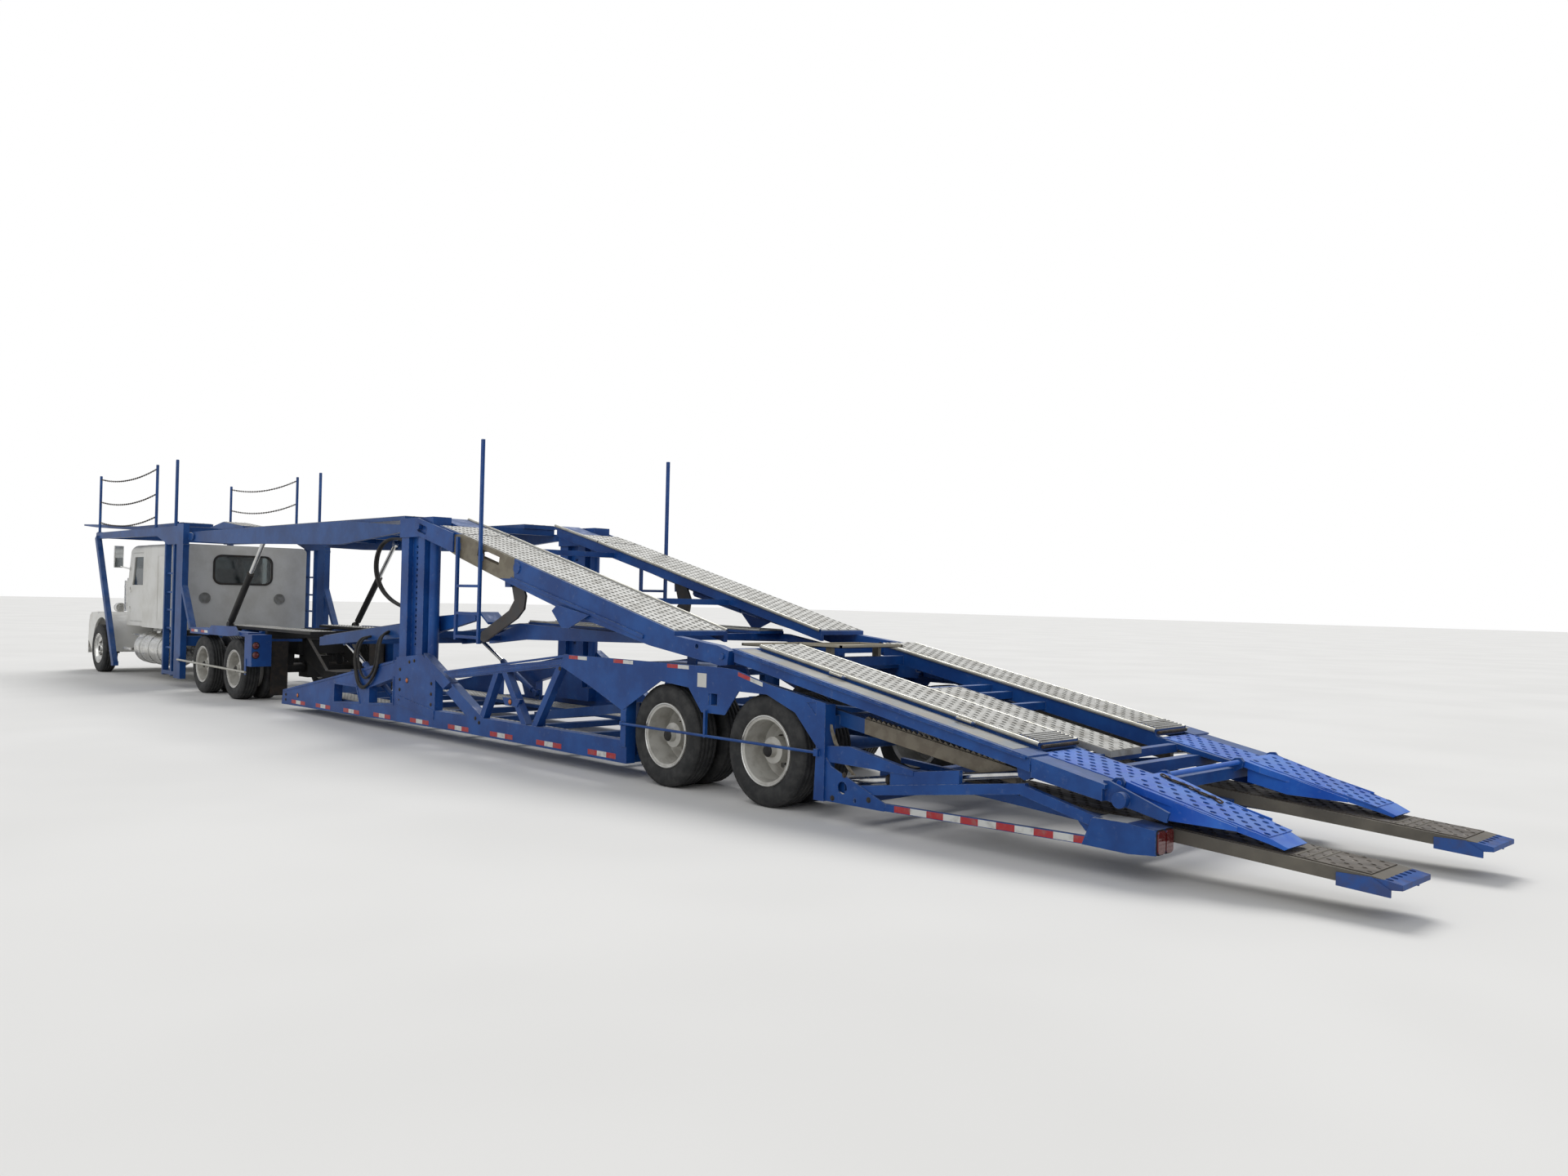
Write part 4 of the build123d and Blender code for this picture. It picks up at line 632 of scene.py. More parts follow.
class MeshMaker:
    """Gathers simple forms into one joined mesh with a few finishes."""

    def __init__(self) -> None:
        """Start with nothing."""
        self.points: list[Point] = []
        self.faces: list[tuple[int, ...]] = []
        self.slots: list[int] = []
        self.smooth: list[bool] = []

    def add(self, points: Iterable[Point], faces: Iterable[Sequence[int]], slot: int = 0,
            smooth: bool = False) -> None:
        """Add points and the faces between them.

        Args:
            points: corners in metres.
            faces: corner numbers, counted from the first of these points.
            slot: which finish of the piece the faces take.
            smooth: whether the faces are shaded as one curve.
        """
        base = len(self.points)
        self.points.extend(tuple(p) for p in points)
        for face in faces:
            self.faces.append(tuple(base + i for i in face))
            self.slots.append(slot)
            self.smooth.append(smooth)

    def block(self, low: Point, high: Point, slot: int = 0) -> None:
        """Add a block between two corners.

        Args:
            low: its first corner.
            high: the corner across from it.
            slot: which finish it takes.
        """
        (x0, y0, z0), (x1, y1, z1) = low, high
        points = [(x, y, z) for x in (x0, x1) for y in (y0, y1) for z in (z0, z1)]
        faces = [(0, 1, 3, 2), (4, 6, 7, 5), (0, 4, 5, 1), (2, 3, 7, 6), (0, 2, 6, 4), (1, 5, 7, 3)]
        self.add(points, faces, slot)

    def plate(self, outline: Sequence[Pair], start: float, end: float, slot: int = 0,
              axis: str = "Y") -> None:
        """Add a plate from its outline.

        Args:
            outline: frame (x, z) points of a side view, or (y, z) points of a front view.
            start: where its thickness begins, along Y for a side view and along X for a front view.
            end: where its thickness ends.
            slot: which finish it takes.
            axis: "Y" for a side view, "X" for a front view.
        """
        count = len(outline)
        points = [(a, t, z) if axis == "Y" else (t, a, z) for t in (start, end) for a, z in outline]
        faces = [tuple(range(count)), tuple(range(2 * count - 1, count - 1, -1))]
        faces += [(i, i + count, (i + 1) % count + count, (i + 1) % count) for i in range(count)]
        self.add(points, faces if axis == "Y" else [face[::-1] for face in faces], slot)

    def tube(self, path: Sequence[Point], radius: float | Sequence[float], sides: int = 12,
             slot: int = 0) -> None:
        """Add a round tube along a path, closed at its ends.

        Args:
            path: points of the centre line.
            radius: the tube's radius in metres, or one for each point.
            sides: how many flats its section has.
            slot: which finish it takes.
        """
        line = [Vector(p) for p in path]
        radii = [radius] * len(line) if isinstance(radius, float) else radius
        points: list[Vector] = []
        normal = None
        for i, here in enumerate(line):
            ahead = (line[min(i + 1, len(line) - 1)] - line[max(i - 1, 0)]).normalized()
            if normal is None:
                normal = ahead.orthogonal().normalized()
            else:
                normal = (normal - ahead * normal.dot(ahead)).normalized()
            points += ring(here, normal, ahead.cross(normal), radii[i], sides)
        self.add(points, grid_faces(len(line), sides), slot, True)
        self.add(points[:sides], [tuple(range(sides - 1, -1, -1))], slot)
        self.add(points[-sides:], [tuple(range(sides))], slot)

    def link(self, centre: Vector, along: Vector, across: Vector, size: tuple[float, float, float],
             slot: int = 0) -> None:
        """Add one chain link.

        Args:
            centre: its middle.
            along: direction of the chain.
            across: direction of the link's width.
            size: its inner half length, its half width and its wire's radius.
            slot: which finish it takes.
        """
        half_long, half_wide, wire = size
        steps, sides = 12, 6
        points = []
        for i in range(steps):
            turn = 2 * math.pi * i / steps
            stretch = half_long - half_wide if math.cos(turn) > 0 else half_wide - half_long
            out = along * math.cos(turn) + across * math.sin(turn)
            points += ring(centre + along * stretch + out * half_wide, out, along.cross(across), wire, sides)
        self.add(points, grid_faces(steps, sides, rows_close=True), slot, True)

    def turned(self, profile: Sequence[Pair], centre: Point, segments: int = 48, slot: int = 0,
               axis: str = "Y", smooth: bool = True) -> None:
        """Add a form turned about a line through a centre.

        Args:
            profile: (radius, distance along the axis) points; open at both ends.
            centre: a point on the axis.
            segments: how many steps one turn has.
            slot: which finish it takes.
            axis: the axis it turns about.
            smooth: whether it is shaded as one curve.
        """
        points = []
        for s in range(segments):
            angle = 2 * math.pi * s / segments
            for radius, t in profile:
                a, b = radius * math.cos(angle), radius * math.sin(angle)
                offset = {"X": (t, a, b), "Y": (a, t, b), "Z": (a, b, t)}[axis]
                points.append(tuple(c + d for c, d in zip(centre, offset)))
        self.add(points, grid_faces(segments, len(profile), True, False), slot, smooth)

    def build(self, name: str, body: str, finishes: Sequence[Finish], slot: str) -> bpy.types.Object:
        """Make the object, dress it and let it ride on a body.

        Args:
            name: the piece's name.
            body: the body it moves with.
            finishes: its finishes in slot order.
            slot: not used.

        Returns:
            The new object.
        """
        mesh = bpy.data.meshes.new(name)
        mesh.from_pydata([tuple(p) for p in self.points], [], self.faces)
        mesh.polygons.foreach_set("material_index", self.slots)
        mesh.polygons.foreach_set("use_smooth", self.smooth)
        for finish in finishes:
            mesh.materials.append(finish.material())
        mesh.validate()
        mesh.update()
        made = bpy.data.objects.new(name, mesh)
        bpy.context.scene.collection.objects.link(made)
        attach(made, body)
        LOG.info("%s: %d faces on %s", name, len(self.faces), body)
        return made


def dress(node: str, finish: Finish) -> None:
    """Give a carried-over CAD node its finish.

    Args:
        node: the node's name.
        finish: the finish that all its faces take.
    """
    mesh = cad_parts[node].data
    mesh.materials.clear()
    mesh.materials.append(finish.material())


class HoleShape(Enum):
    """Kinds of holes pressed into deck plates, as (half length, half width, lip height) in metres."""

    OVAL = (0.020, 0.011, 0.004)
    ROUND = (0.021, 0.021, 0.003)
    SMALL = (0.014, 0.009, 0.003)


CELL_SIDES = 12
CELL_CORNERS = ((1, 1), (-1, 1), (-1, -1), (1, -1))
CELL_EDGE = [tuple(c + (n - c) * step / 3 for c, n in zip(CELL_CORNERS[k], CELL_CORNERS[(k + 1) % 4]))
             for k in range(4) for step in range(3)]
"""Points round a cell's square edge, in half cells, that face the hole's points."""


@dataclass
class PunchedTrack:
    """A plate with rows of raised holes, laid on a deck's track.

    Its corner is where it starts, `along` and `across` are its two sides as vectors, all in the frame.
    """

    corner: Vector
    along: Vector
    across: Vector
    pitch: Pair
    hole: HoleShape
    narrow: float = 1.0
    thick: float = 0.006
    collar: float = 0.006
    wall_foot: float = 0.001
    shade_sheet_rise: float = 0.0008

    def add_to(self, maker: MeshMaker) -> None:
        """Add the plate's cells, each with its hole, and the near-black sheet below them, which is painted
        shade seen through the holes.

        Args:
            maker: the mesh that takes them, the plate in its first finish and the painted shade sheet in its
                second.
        """
        rows = max(1, round(self.along.length / self.pitch[0]))
        lanes = max(1, round(self.across.length / self.pitch[1]))
        u, v = self.along.normalized(), self.across.normalized()
        up = u.cross(v).normalized()
        if up.z < 0:
            up = -up
        for row in range(rows):
            share = (row + 0.5) / rows
            width = self.across.length * (1 - (1 - self.narrow) * share)
            mid = self.corner + self.across / 2 + self.along * share
            half_cell = (self.along.length / rows / 2, width / lanes / 2)
            for lane in range(lanes):
                centre = mid + v * (width * ((lane + 0.5) / lanes - 0.5))
                points = self.cell(centre, (u, v, up), half_cell, 0.5 if lane % 2 else -0.5)
                maker.add(points, grid_faces(4, CELL_SIDES))
        end = self.corner + self.along
        trim = self.across * (1 - self.narrow) / 2
        sheet = [self.corner, end + trim, end + self.across - trim, self.corner + self.across]
        # The sheet under the holes is painted shade: a near-black face that shows through them.
        maker.add([p + up * self.shade_sheet_rise for p in sheet], [(0, 1, 2, 3)], 1)
        skirt = [p + up * self.thick for p in sheet]
        maker.add(sheet + skirt, [(i, (i + 1) % 4, (i + 1) % 4 + 4, i + 4) for i in range(4)])

    def cell(self, centre: Vector, axes: tuple[Vector, Vector, Vector], half_cell: Pair,
             shift: float) -> list[Vector]:
        """Points of one cell with its raised hole.

        Args:
            centre: the cell's middle at the plate's foot.
            axes: directions along, across and out of the plate.
            half_cell: half its length and half its width.
            shift: how far the hole is moved along, in half cells.

        Returns:
            Four rings: the cell's edge, the hole's collar, its lip and the foot of its wall.
        """
        u, v, up = axes
        half_long, half_wide, lip = self.hole.value
        half_wide *= min(1.0, half_cell[1] * 0.8 / half_wide)
        outer = [centre + u * (a * half_cell[0]) + v * (b * half_cell[1]) + up * self.thick
                 for a, b in CELL_EDGE]
        middle = centre + u * (half_cell[0] * shift)
        rings = []
        for spare, height in ((self.collar, self.thick), (0.0, self.thick + lip), (0.0, self.wall_foot)):
            for k in range(CELL_SIDES):
                angle = math.radians(45 + 360 * k / CELL_SIDES)
                rings.append(middle + u * (math.cos(angle) * (half_long + spare))
                             + v * (math.sin(angle) * (half_wide + spare)) + up * height)
        return outer + rings


# Wheels


@dataclass
class Tyre:
    """One moulded road tyre, its section read from the inner bead to the outer one."""

    x: float
    y0: float
    y1: float
    radius: float = 0.458
    bead: float = 0.290
    groove: float = 0.012
    segments: int = 72
    lugs: int = 60
    lug_share: float = 0.62

    def profile(self) -> list[Pair]:
        """Section from the inner bead over the grooved tread to the outer bead.

        Returns:
            (radius, width) points.
        """
        mid, half = (self.y0 + self.y1) / 2, (self.y1 - self.y0) / 2
        crown = self.radius - self.bead
        wall = [(0.0, 0.840), (0.010, 0.880), (0.022, 0.925), (0.045, 0.970), (0.084, 1.0), (0.115, 0.985),
                (0.120, 0.955), (0.138, 0.925), (0.150, 0.860), (0.162, 0.800), (crown, 0.700)]
        tread = []
        for centre in (0.52, 0.18):
            tread += [(crown, centre + 0.05), (crown - self.groove, centre + 0.035),
                      (crown - self.groove, centre - 0.035), (crown, centre - 0.05)]
        left = [(self.bead + r, mid + w * half) for r, w in wall + tread]
        right = [(self.bead + r, mid - w * half) for r, w in reversed(wall + tread)]
        return left + right

    def add_to(self, maker: MeshMaker) -> None:
        """Add the turned casing and the lugs' raised edges round both shoulders.

        Args:
            maker: the mesh that takes them.
        """
        maker.turned(self.profile(), at(self.x, 0, self.radius), self.segments)
        step = 2 * math.pi / self.lugs
        for y, inward in ((self.y0 + 0.026, 1), (self.y1 - 0.026, -1)):
            section = ((self.radius - 0.014, -0.010 * inward), (self.radius, 0.006 * inward),
                       (self.radius, 0.030 * inward), (self.radius - 0.012, 0.030 * inward))
            for k in range(self.lugs):
                points = []
                for angle in (k * step, (k + self.lug_share) * step):
                    points += [at(self.x + r * math.cos(angle), y + dy, self.radius + r * math.sin(angle))
                               for r, dy in section]
                maker.add(points, [(0, 1, 5, 4), (1, 2, 6, 5), (2, 3, 7, 6), (0, 4, 7, 3), (0, 3, 2, 1),
                                   (4, 5, 6, 7)])


@dataclass
class Wheels:
    """All ten wheel positions: moulded tyres, dressed rims, wheel nuts and hub caps."""

    outer: float = 1.240
    width: float = 0.250
    twin: float = 0.330
    centre_z: float = 0.458
    nut_circle: float = 0.126
    nuts: int = 10
    axles: dict[str, float] = field(default_factory=lambda: {
        "steer": 18.884, "drive_front": 13.107, "drive_rear": 11.747, "trailer_front": 1.297,
        "trailer_rear": 0.0})

    def build(self) -> None:
        """Build each wheel and dress its rim."""
        for axle, x in self.axles.items():
            for side, sign in zip(("left", "right"), SIDES):
                maker = MeshMaker()
                for edge in (self.outer,) if axle == "steer" else (self.outer, self.outer - self.twin):
                    Tyre(x, *sorted((sign * edge, sign * (edge - self.width)))).add_to(maker)
                made = maker.build(f"{axle}_tread_{side}", f"{axle}_wheel_{side}", [RUBBER], "tyre_rubber")
                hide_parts(f"{axle}_tyre_{side}")
                dress(f"{axle}_rim_{side}", POLISHED if axle == "steer" else RIM_STEEL)
                self.add_fittings(axle, side, sign, x)

    def add_fittings(self, axle: str, side: str, sign: int, x: float) -> None:
        """Hub cap, wheel nuts and the bright lip of the outer rim.

        Args:
            axle: the axle's name.
            side: "left" or "right".
            sign: the side's sign of Y.
            x: the axle's place along the lorry.
        """
        if axle == "steer":
            disc, cap, reach = self.outer - 0.075, self.outer - 0.026, 0.0
        else:
            disc = self.outer - (self.twin / 2 + self.width / 2 - 0.014)
            cap, reach = self.outer - 0.041, 0.012
        hub, lip = at(x, 0, self.centre_z), self.outer
        maker = MeshMaker()
        for k in range(self.nuts):
            angle = 2 * math.pi * (k + 0.5) / self.nuts
            centre = at(x + self.nut_circle * math.cos(angle), sign * (disc + 0.001),
                        self.centre_z + self.nut_circle * math.sin(angle))
            maker.turned([(0.0, 0.034 * sign), (0.009, 0.034 * sign), (0.011, 0.028 * sign), (0.012, 0.0)],
                         centre, 6, 0, smooth=False)
        maker.turned([(0.0, (cap + 0.012 + reach) * sign), (0.030, (cap + 0.010 + reach) * sign),
                      (0.052, (cap + 0.004) * sign), (0.056, (cap - 0.01) * sign)], hub, 24, 1)
        maker.turned([(0.2760, (lip - 0.0100) * sign), (0.2800, (lip - 0.0062) * sign),
                      (0.2850, (lip - 0.0060) * sign), (0.2885, (lip - 0.0085) * sign)], hub, 72, 2)
        maker.build(f"{axle}_wheel_nuts_{side}", f"{axle}_wheel_{side}", [CAST_IRON, CHASSIS_BLACK, POLISHED],
                    "bright_steel")


# Decks


@dataclass(frozen=True)
class TrackLine:
    """One straight stretch of punched track on both sides of a deck, from its front to its rear end.

    X and Z are measured from the trailer's rear axle, the widths from the middle of the lorry.
    """

    piece: str
    body: str
    start: Pair
    end: Pair
    widths: Pair
    pitch: Pair = (0.080, 0.065)
    finish: Finish = TRACK_ALUMINIUM
    hole: HoleShape = HoleShape.OVAL
    narrow: float = 1.0
    sides: tuple[int, ...] = SIDES


@dataclass(frozen=True)
class EdgeTube:
    """Round tubes along a deck's track on both sides: both ends in (x, z), and distances from the middle."""

    body: str
    start: Pair
    end: Pair
    widths: tuple[float, ...]
    radius: float = 0.0166


@dataclass
class DeckTracks:
    """Punched tracks of every deck, with the tubes along their edges."""

    lines: tuple[TrackLine, ...] = (
        TrackLine("rear_deck_track", "rear_deck", (0.300, 1.3043), (-2.300, 0.7940), (0.574, 1.001),
                  (0.080, 0.071)),
        TrackLine("long_loose_ramp", "rear_deck", (-1.405, 0.9377), (-2.695, 0.6845), (0.055, 0.465),
                  (0.080, 0.068), sides=(1,)),
        TrackLine("short_loose_ramp", "rear_deck", (-1.045, 1.0043), (-1.395, 0.9356), (0.025, 0.425),
                  (0.080, 0.068), sides=(1,)),
        TrackLine("rear_hinge_plate", "rear_deck", (-2.520, 0.6932), (-3.108, 0.5771), (0.600, 1.040),
                  (0.095, 0.075), BRIGHT_BLUE, HoleShape.ROUND),
        TrackLine("upper_deck_track_rear", "upper_deck", (4.960, 2.3350), (1.200, 1.395), (0.650, 1.225),
                  (0.085, 0.072)),
        TrackLine("upper_deck_track_front", "upper_deck", (5.440, 2.4470), (4.990, 2.3424), (0.650, 1.225),
                  (0.085, 0.072)),
        TrackLine("middle_deck_track", "middle_deck", (4.080, 1.3917), (2.010, 1.3622), (0.580, 0.880)),
        TrackLine("floor_track", "trailer", (9.650, 0.255), (1.900, 0.255), (0.660, 1.080), (0.100, 0.075)),
        TrackLine("neck_deck_track", "neck_deck", (8.960, 1.0671), (6.720, 1.2979), (0.620, 1.025),
                  (0.100, 0.075)),
        TrackLine("tractor_deck_track", "tractor_deck", (11.900, 2.610), (6.660, 2.610), (0.620, 1.070),
                  (0.120, 0.085)),
        TrackLine("tractor_ramp_track", "tractor_deck", (12.800, 2.730), (11.960, 2.6411), (0.710, 1.070),
                  (0.100, 0.080)),
        TrackLine("headrack_track_rear", "headrack_deck", (17.180, 2.775), (14.680, 2.775), (0.620, 1.110),
                  (0.120, 0.085)),
        TrackLine("headrack_track_front", "headrack_deck", (19.620, 2.8891), (17.220, 2.7759), (0.620, 1.110),
                  (0.120, 0.085)),
        TrackLine("low_deck_track", "tractor", (12.880, 1.090), (9.670, 1.090), (0.575, 0.935),
                  (0.100, 0.080)),
        TrackLine("slide_ramp_track", "slide_ramps", (-1.780, 0.4473), (-4.630, 0.2507), (0.610, 1.005),
                  (0.100, 0.066), DARK_STEEL, HoleShape.SMALL),
        TrackLine("flip_ramp_track", "flip_ramps", (-3.200, 0.5908), (-4.060, 0.3646), (0.610, 1.080),
                  (0.105, 0.075), BRIGHT_BLUE, HoleShape.ROUND, narrow=0.66),
    )
    tubes: tuple[EdgeTube, ...] = (
        EdgeTube("rear_deck", (0.300, 1.2943), (-2.480, 0.7487), (0.555, 1.020)),
        EdgeTube("upper_deck", (4.970, 2.345), (1.190, 1.395), (0.615,)),
        EdgeTube("upper_deck", (5.930, 2.574), (4.990, 2.352), (0.615,)),
        EdgeTube("middle_deck", (4.080, 1.3990), (2.010, 1.3690), (0.566, 0.888), 0.012),
    )

    def build(self) -> None:
        """Make the tubes along the edges, then one piece a stretch of track, with both sides in it."""
        for number, tube in enumerate(self.tubes):
            maker = MeshMaker()
            for y in (sign * width for sign in SIDES for width in tube.widths):
                maker.tube([at(x, y, z) for x, z in (tube.start, tube.end)], tube.radius, 16)
            maker.build(f"edge_tube_{number}", tube.body, [TUBE_ALUMINIUM], "bright_steel")
        for line in self.lines:
            maker = MeshMaker()
            inner, outer = line.widths
            along = at(line.end[0], 0, line.end[1]) - at(line.start[0], 0, line.start[1])
            for sign in line.sides:
                corner = at(line.start[0], sign * inner, line.start[1])
                across = Vector((0, sign * (outer - inner), 0))
                PunchedTrack(corner, along, across, line.pitch, line.hole, line.narrow).add_to(maker)
            slot = "dark_steel" if line.finish is DARK_STEEL else "blue_paint"
            maker.build(line.piece, line.body, [line.finish, TRACK_SHADE], slot)


@dataclass
class RearDeckFittings:
    """What lies on the rear deck: worn strips, ribbed track ends, grab handles, loose ramps and hinges."""

    top_at_pin: float = 1.262
    pin_x: float = 0.380
    slope: float = 0.19626
    ribs: int = 5
    rib_pitch: float = 0.034
    knuckles: int = 24
    hinge_width: float = 0.440
    handle_x: Pair = (-0.620, -1.880)

    def point(self, x: float, rise: float) -> Pair:
        """Frame (x, z) point above the deck's top line."""
        return (x - ORIGIN_X, self.top_at_pin + (x - self.pin_x) * self.slope + rise)

    def strip(self, maker: MeshMaker, ends: Pair, rises: Pair,
              widths: Pair) -> None:
        """Add a plate that follows the deck's slope.

        Args:
            maker: the mesh that takes it.
            ends: X of its front and rear ends.
            rises: its lower and upper face above the deck's top line.
            widths: its two sides, from the middle of the lorry.
        """
        outline = [self.point(ends[0], rises[0]), self.point(ends[0], rises[1]),
                   self.point(ends[1], rises[1]), self.point(ends[1], rises[0])]
        maker.plate(outline, *widths)

    def build(self) -> None:
        """Make the strips, the track ends with their hinges, the handles and the loose ramps' frames."""
        strips, ends, handles, ramps = MeshMaker(), MeshMaker(), MeshMaker(), MeshMaker()
        step = self.hinge_width / self.knuckles
        for sign in SIDES:
            self.strip(strips, (0.350, -2.420), (0.0115, 0.0136), (sign * 1.045, sign * 1.236))
            self.strip(ends, (-2.302, -2.481), (0.0575, 0.0596), (sign * 0.571, sign * 1.004))
            for k in range(self.ribs):
                x = -2.320 - self.rib_pitch * k
                self.strip(ends, (x + 0.008, x - 0.008), (0.0590, 0.0690), (sign * 0.575, sign * 1.000))
            x, z = self.point(-2.497, 0.036)
            for k in range(self.knuckles):
                y = 0.570 + step * k
                ends.tube([(x, sign * y, z), (x, sign * (y + step * 0.82), z)], 0.013, 10, 1)
            for x in self.handle_x:
                self.add_handle(handles, x, sign)
        self.strip(ramps, (-1.3995, -2.7005), (-0.0150, 0.0266), (0.0492, 0.4708))
        self.strip(ramps, (-1.0395, -1.5005), (-0.0148, 0.0226), (0.0192, 0.4308))
        strips.build("worn_deck_strips", "rear_deck", [WORN_STRIP], "blue_paint")
        ends.build("track_ends_and_hinges", "rear_deck", [TRACK_ALUMINIUM, CAST_IRON], "bright_steel")
        handles.build("grab_handles", "rear_deck", [TUBE_ALUMINIUM], "bright_steel")
        ramps.build("loose_ramp_frames", "rear_deck", [TRACK_ALUMINIUM], "bright_steel")

    def add_handle(self, maker: MeshMaker, x: float, sign: int) -> None:
        """Add one round-bar grab handle beside the track.

        Args:
            maker: the mesh that takes it.
            x: its middle, from the trailer's rear axle.
            sign: the side's sign of Y.
        """
        path = []
        for along, y in ((0.075, 1.030), (0.075, 1.058), (0.067, 1.066), (-0.067, 1.066), (-0.075, 1.058),
                         (-0.075, 1.030)):
            px, pz = self.point(x + along, 0.044)
            path.append((px, sign * y, pz))
        maker.tube(path, 0.0095, 10)


# Trailer trim


def rounded_outline(middle: float, half: float, low: float, high: float, radius: float,
                    steps: int = 5) -> list[Pair]:
    """Rounded rectangle of (y, z) points.

    Args:
        middle: Y of its middle.
        half: half its width.
        low: its lowest Z.
        high: its highest Z.
        radius: radius of its corners.
        steps: how many edges each corner has.

    Returns:
        Its corners, counter-clockwise.
    """
    corners = ((half - radius, high - radius, 0), (radius - half, high - radius, 90),
               (radius - half, low + radius, 180), (half - radius, low + radius, 270))
    points = []
    for y, z, turn in corners:
        for k in range(steps + 1):
            angle = math.radians(turn + 90 * k / steps)
            points.append((middle + y + radius * math.cos(angle), z + radius * math.sin(angle)))
    return points


@dataclass
class SideTrim:
    """Reflective tape, lamps, bolts, placard and strap on both sides of the trailer."""

    rail_y: float = 1.2475
    body_y: float = 1.2625
    tail_y: float = 1.2455
    block: float = 0.150
    tape_thick: float = 0.0009
    rail_tapes: tuple[Pair, ...] = (
        (9.500, 0.140), (8.700, 0.150), (7.850, 0.155), (7.000, 0.170), (6.050, 0.185), (5.150, 0.190),
        (4.250, 0.195), (3.350, 0.195), (2.450, 0.195))
    body_tapes: tuple[tuple[float, float, float], ...] = (
        (2.780, 1.084, 0.0), (2.050, 1.084, 0.0), (1.250, 1.084, 0.0), (0.310, 1.066, 0.2326))
    bolts: tuple[Pair, ...] = (
        (6.330, 0.400), (6.330, 0.520), (6.330, 0.640), (6.330, 0.760), (5.560, 0.400), (5.560, 0.520),
        (5.560, 0.640), (9.700, 0.150), (9.700, 0.220), (4.480, 0.290), (4.560, 0.330), (2.960, 0.960),
        (-0.900, 0.370), (-1.150, 0.215), (-0.780, 0.180), (6.100, 0.860), (5.980, 0.880))
    lamp_face_x: float = -3.4700
    lamp_y: Pair = (1.190, 1.092)
    side_lamps: tuple[Point, ...] = ((3.850, 0.562, 1.2556), (6.150, 0.640, 1.2476), (9.300, 0.235, 1.2476))
    strap_line: tuple[Pair, ...] = (
        (-0.7020, 0.735), (-0.7150, 0.690), (-0.7600, 0.600), (-0.8300, 0.500), (-0.9050, 0.420),
        (-0.9600, 0.372))
    strap_half: float = 0.022
    column_x: float = -0.7012

    def build(self) -> None:
        """Make the tape, the lamps, the small fittings and the strap."""
        tape, fittings, lamps = MeshMaker(), MeshMaker(), MeshMaker()
        for sign in SIDES:
            for start in self.rail_tapes:
                self.tape_run(tape, start, 0.0, 3, sign * self.rail_y, 0.050)
            for x, z, slope in self.body_tapes:
                self.tape_run(tape, (x, z), slope, 2, sign * self.body_y, 0.034)
            self.tape_run(tape, (-1.400, 0.1825), -0.01683, 12, sign * self.tail_y, 0.046)
            self.add_bolts(fittings, sign)
            self.add_lamps(lamps, sign)
        tape.build("reflective_tape", "trailer", [RED_TAPE, WHITE_TAPE], "blue_paint")
        fittings.build("side_bolts_and_placard", "trailer", [BLUE_PAINT, PLACARD, CAST_IRON], "blue_paint")
        lamps.build("trailer_lamps", "trailer", [RED_LENS, AMBER_LENS, HOSE_RUBBER, WHITE_TAPE], "pane")
        self.add_strap()

    def tape_run(self, maker: MeshMaker, start: Pair, slope: float, blocks: int, y: float,
                 height: float) -> None:
        """Add a run of red and white blocks towards the rear.

        Args:
            maker: the mesh that takes them.
            start: (x, z) of the middle of the run's front end, X from the trailer's rear axle.
            slope: how much the run drops for each metre towards the rear.
            blocks: how many blocks it has.
            y: the face that it is stuck on.
            height: its width.
        """
        out = math.copysign(self.tape_thick, y)
        ends = [(start[0] - ORIGIN_X - reach, start[1] - slope * reach)
                for reach in (self.block * k for k in range(blocks + 1))]
        for k, ((x0, z0), (x1, z1)) in enumerate(zip(ends, ends[1:])):
            outline = [(x0, z0 - height / 2), (x0, z0 + height / 2),
                       (x1, z1 + height / 2), (x1, z1 - height / 2)]
            maker.plate(outline, y - out * 0.5, y + out, k % 2)

    def add_bolts(self, maker: MeshMaker, sign: int) -> None:
        """Add hexagon bolt heads with washers, and the blank placard over the front wheel.

        Args:
            maker: the mesh that takes them.
            sign: the side's sign of Y.
        """
        for x, z in self.bolts:
            place = at(x, sign * self.rail_y, z)
            maker.turned([(0.0, 0.010 * sign), (0.013, 0.010 * sign), (0.015, 0.008 * sign), (0.015, 0.0)],
                         place, 6, 2, smooth=False)
            maker.turned([(0.015, 0.0025 * sign), (0.021, 0.0020 * sign), (0.022, -0.001 * sign)],
                         place, 20, 2)
        maker.block(at(0.710, sign * self.body_y, 0.925), at(0.830, sign * (self.body_y + 0.0016), 1.045), 1)

    def add_lamps(self, maker: MeshMaker, sign: int) -> None:
        """Add tail lamp lenses over their seats, amber side lamps and the lamp box's worn white top.

        Args:
            maker: the mesh that takes them.
            sign: the side's sign of Y.
        """
        back = self.lamp_face_x - ORIGIN_X
        for y in self.lamp_y:
            maker.plate(rounded_outline(sign * y, 0.0500, 0.187, 0.343, 0.024), back - 0.0028, back, 2, "X")
            maker.plate(rounded_outline(sign * y, 0.0426, 0.1942, 0.3358, 0.024), back - 0.0138, back, 0, "X")
        for x, z, y in self.side_lamps:
            place = at(x, sign * y, z)
            maker.turned([(0.0, 0.016 * sign), (0.016, 0.013 * sign), (0.025, 0.006 * sign), (0.027, 0.0)],
                         place, 20, 1)
            maker.turned([(0.027, 0.004 * sign), (0.033, 0.003 * sign), (0.034, -0.001 * sign)], place, 20, 2)
        maker.block(at(-3.275, sign * 1.046, 0.3602), at(-3.035, sign * 1.240, 0.3612), 3)

    def add_strap(self) -> None:
        """Slack flat strap that hangs from the rear column to the corner plate on the left."""
        outline = [(x + self.strap_half, z) for x, z in self.strap_line]
        outline += [(x - self.strap_half, z) for x, z in reversed(self.strap_line)]
        maker = MeshMaker()
        maker.plate([(min(x, self.column_x) - ORIGIN_X, z) for x, z in outline], 1.2020, 1.2046)
        maker.build("lashing_strap", "trailer", [WEBBING], "cab_trim")


# Lift cylinders


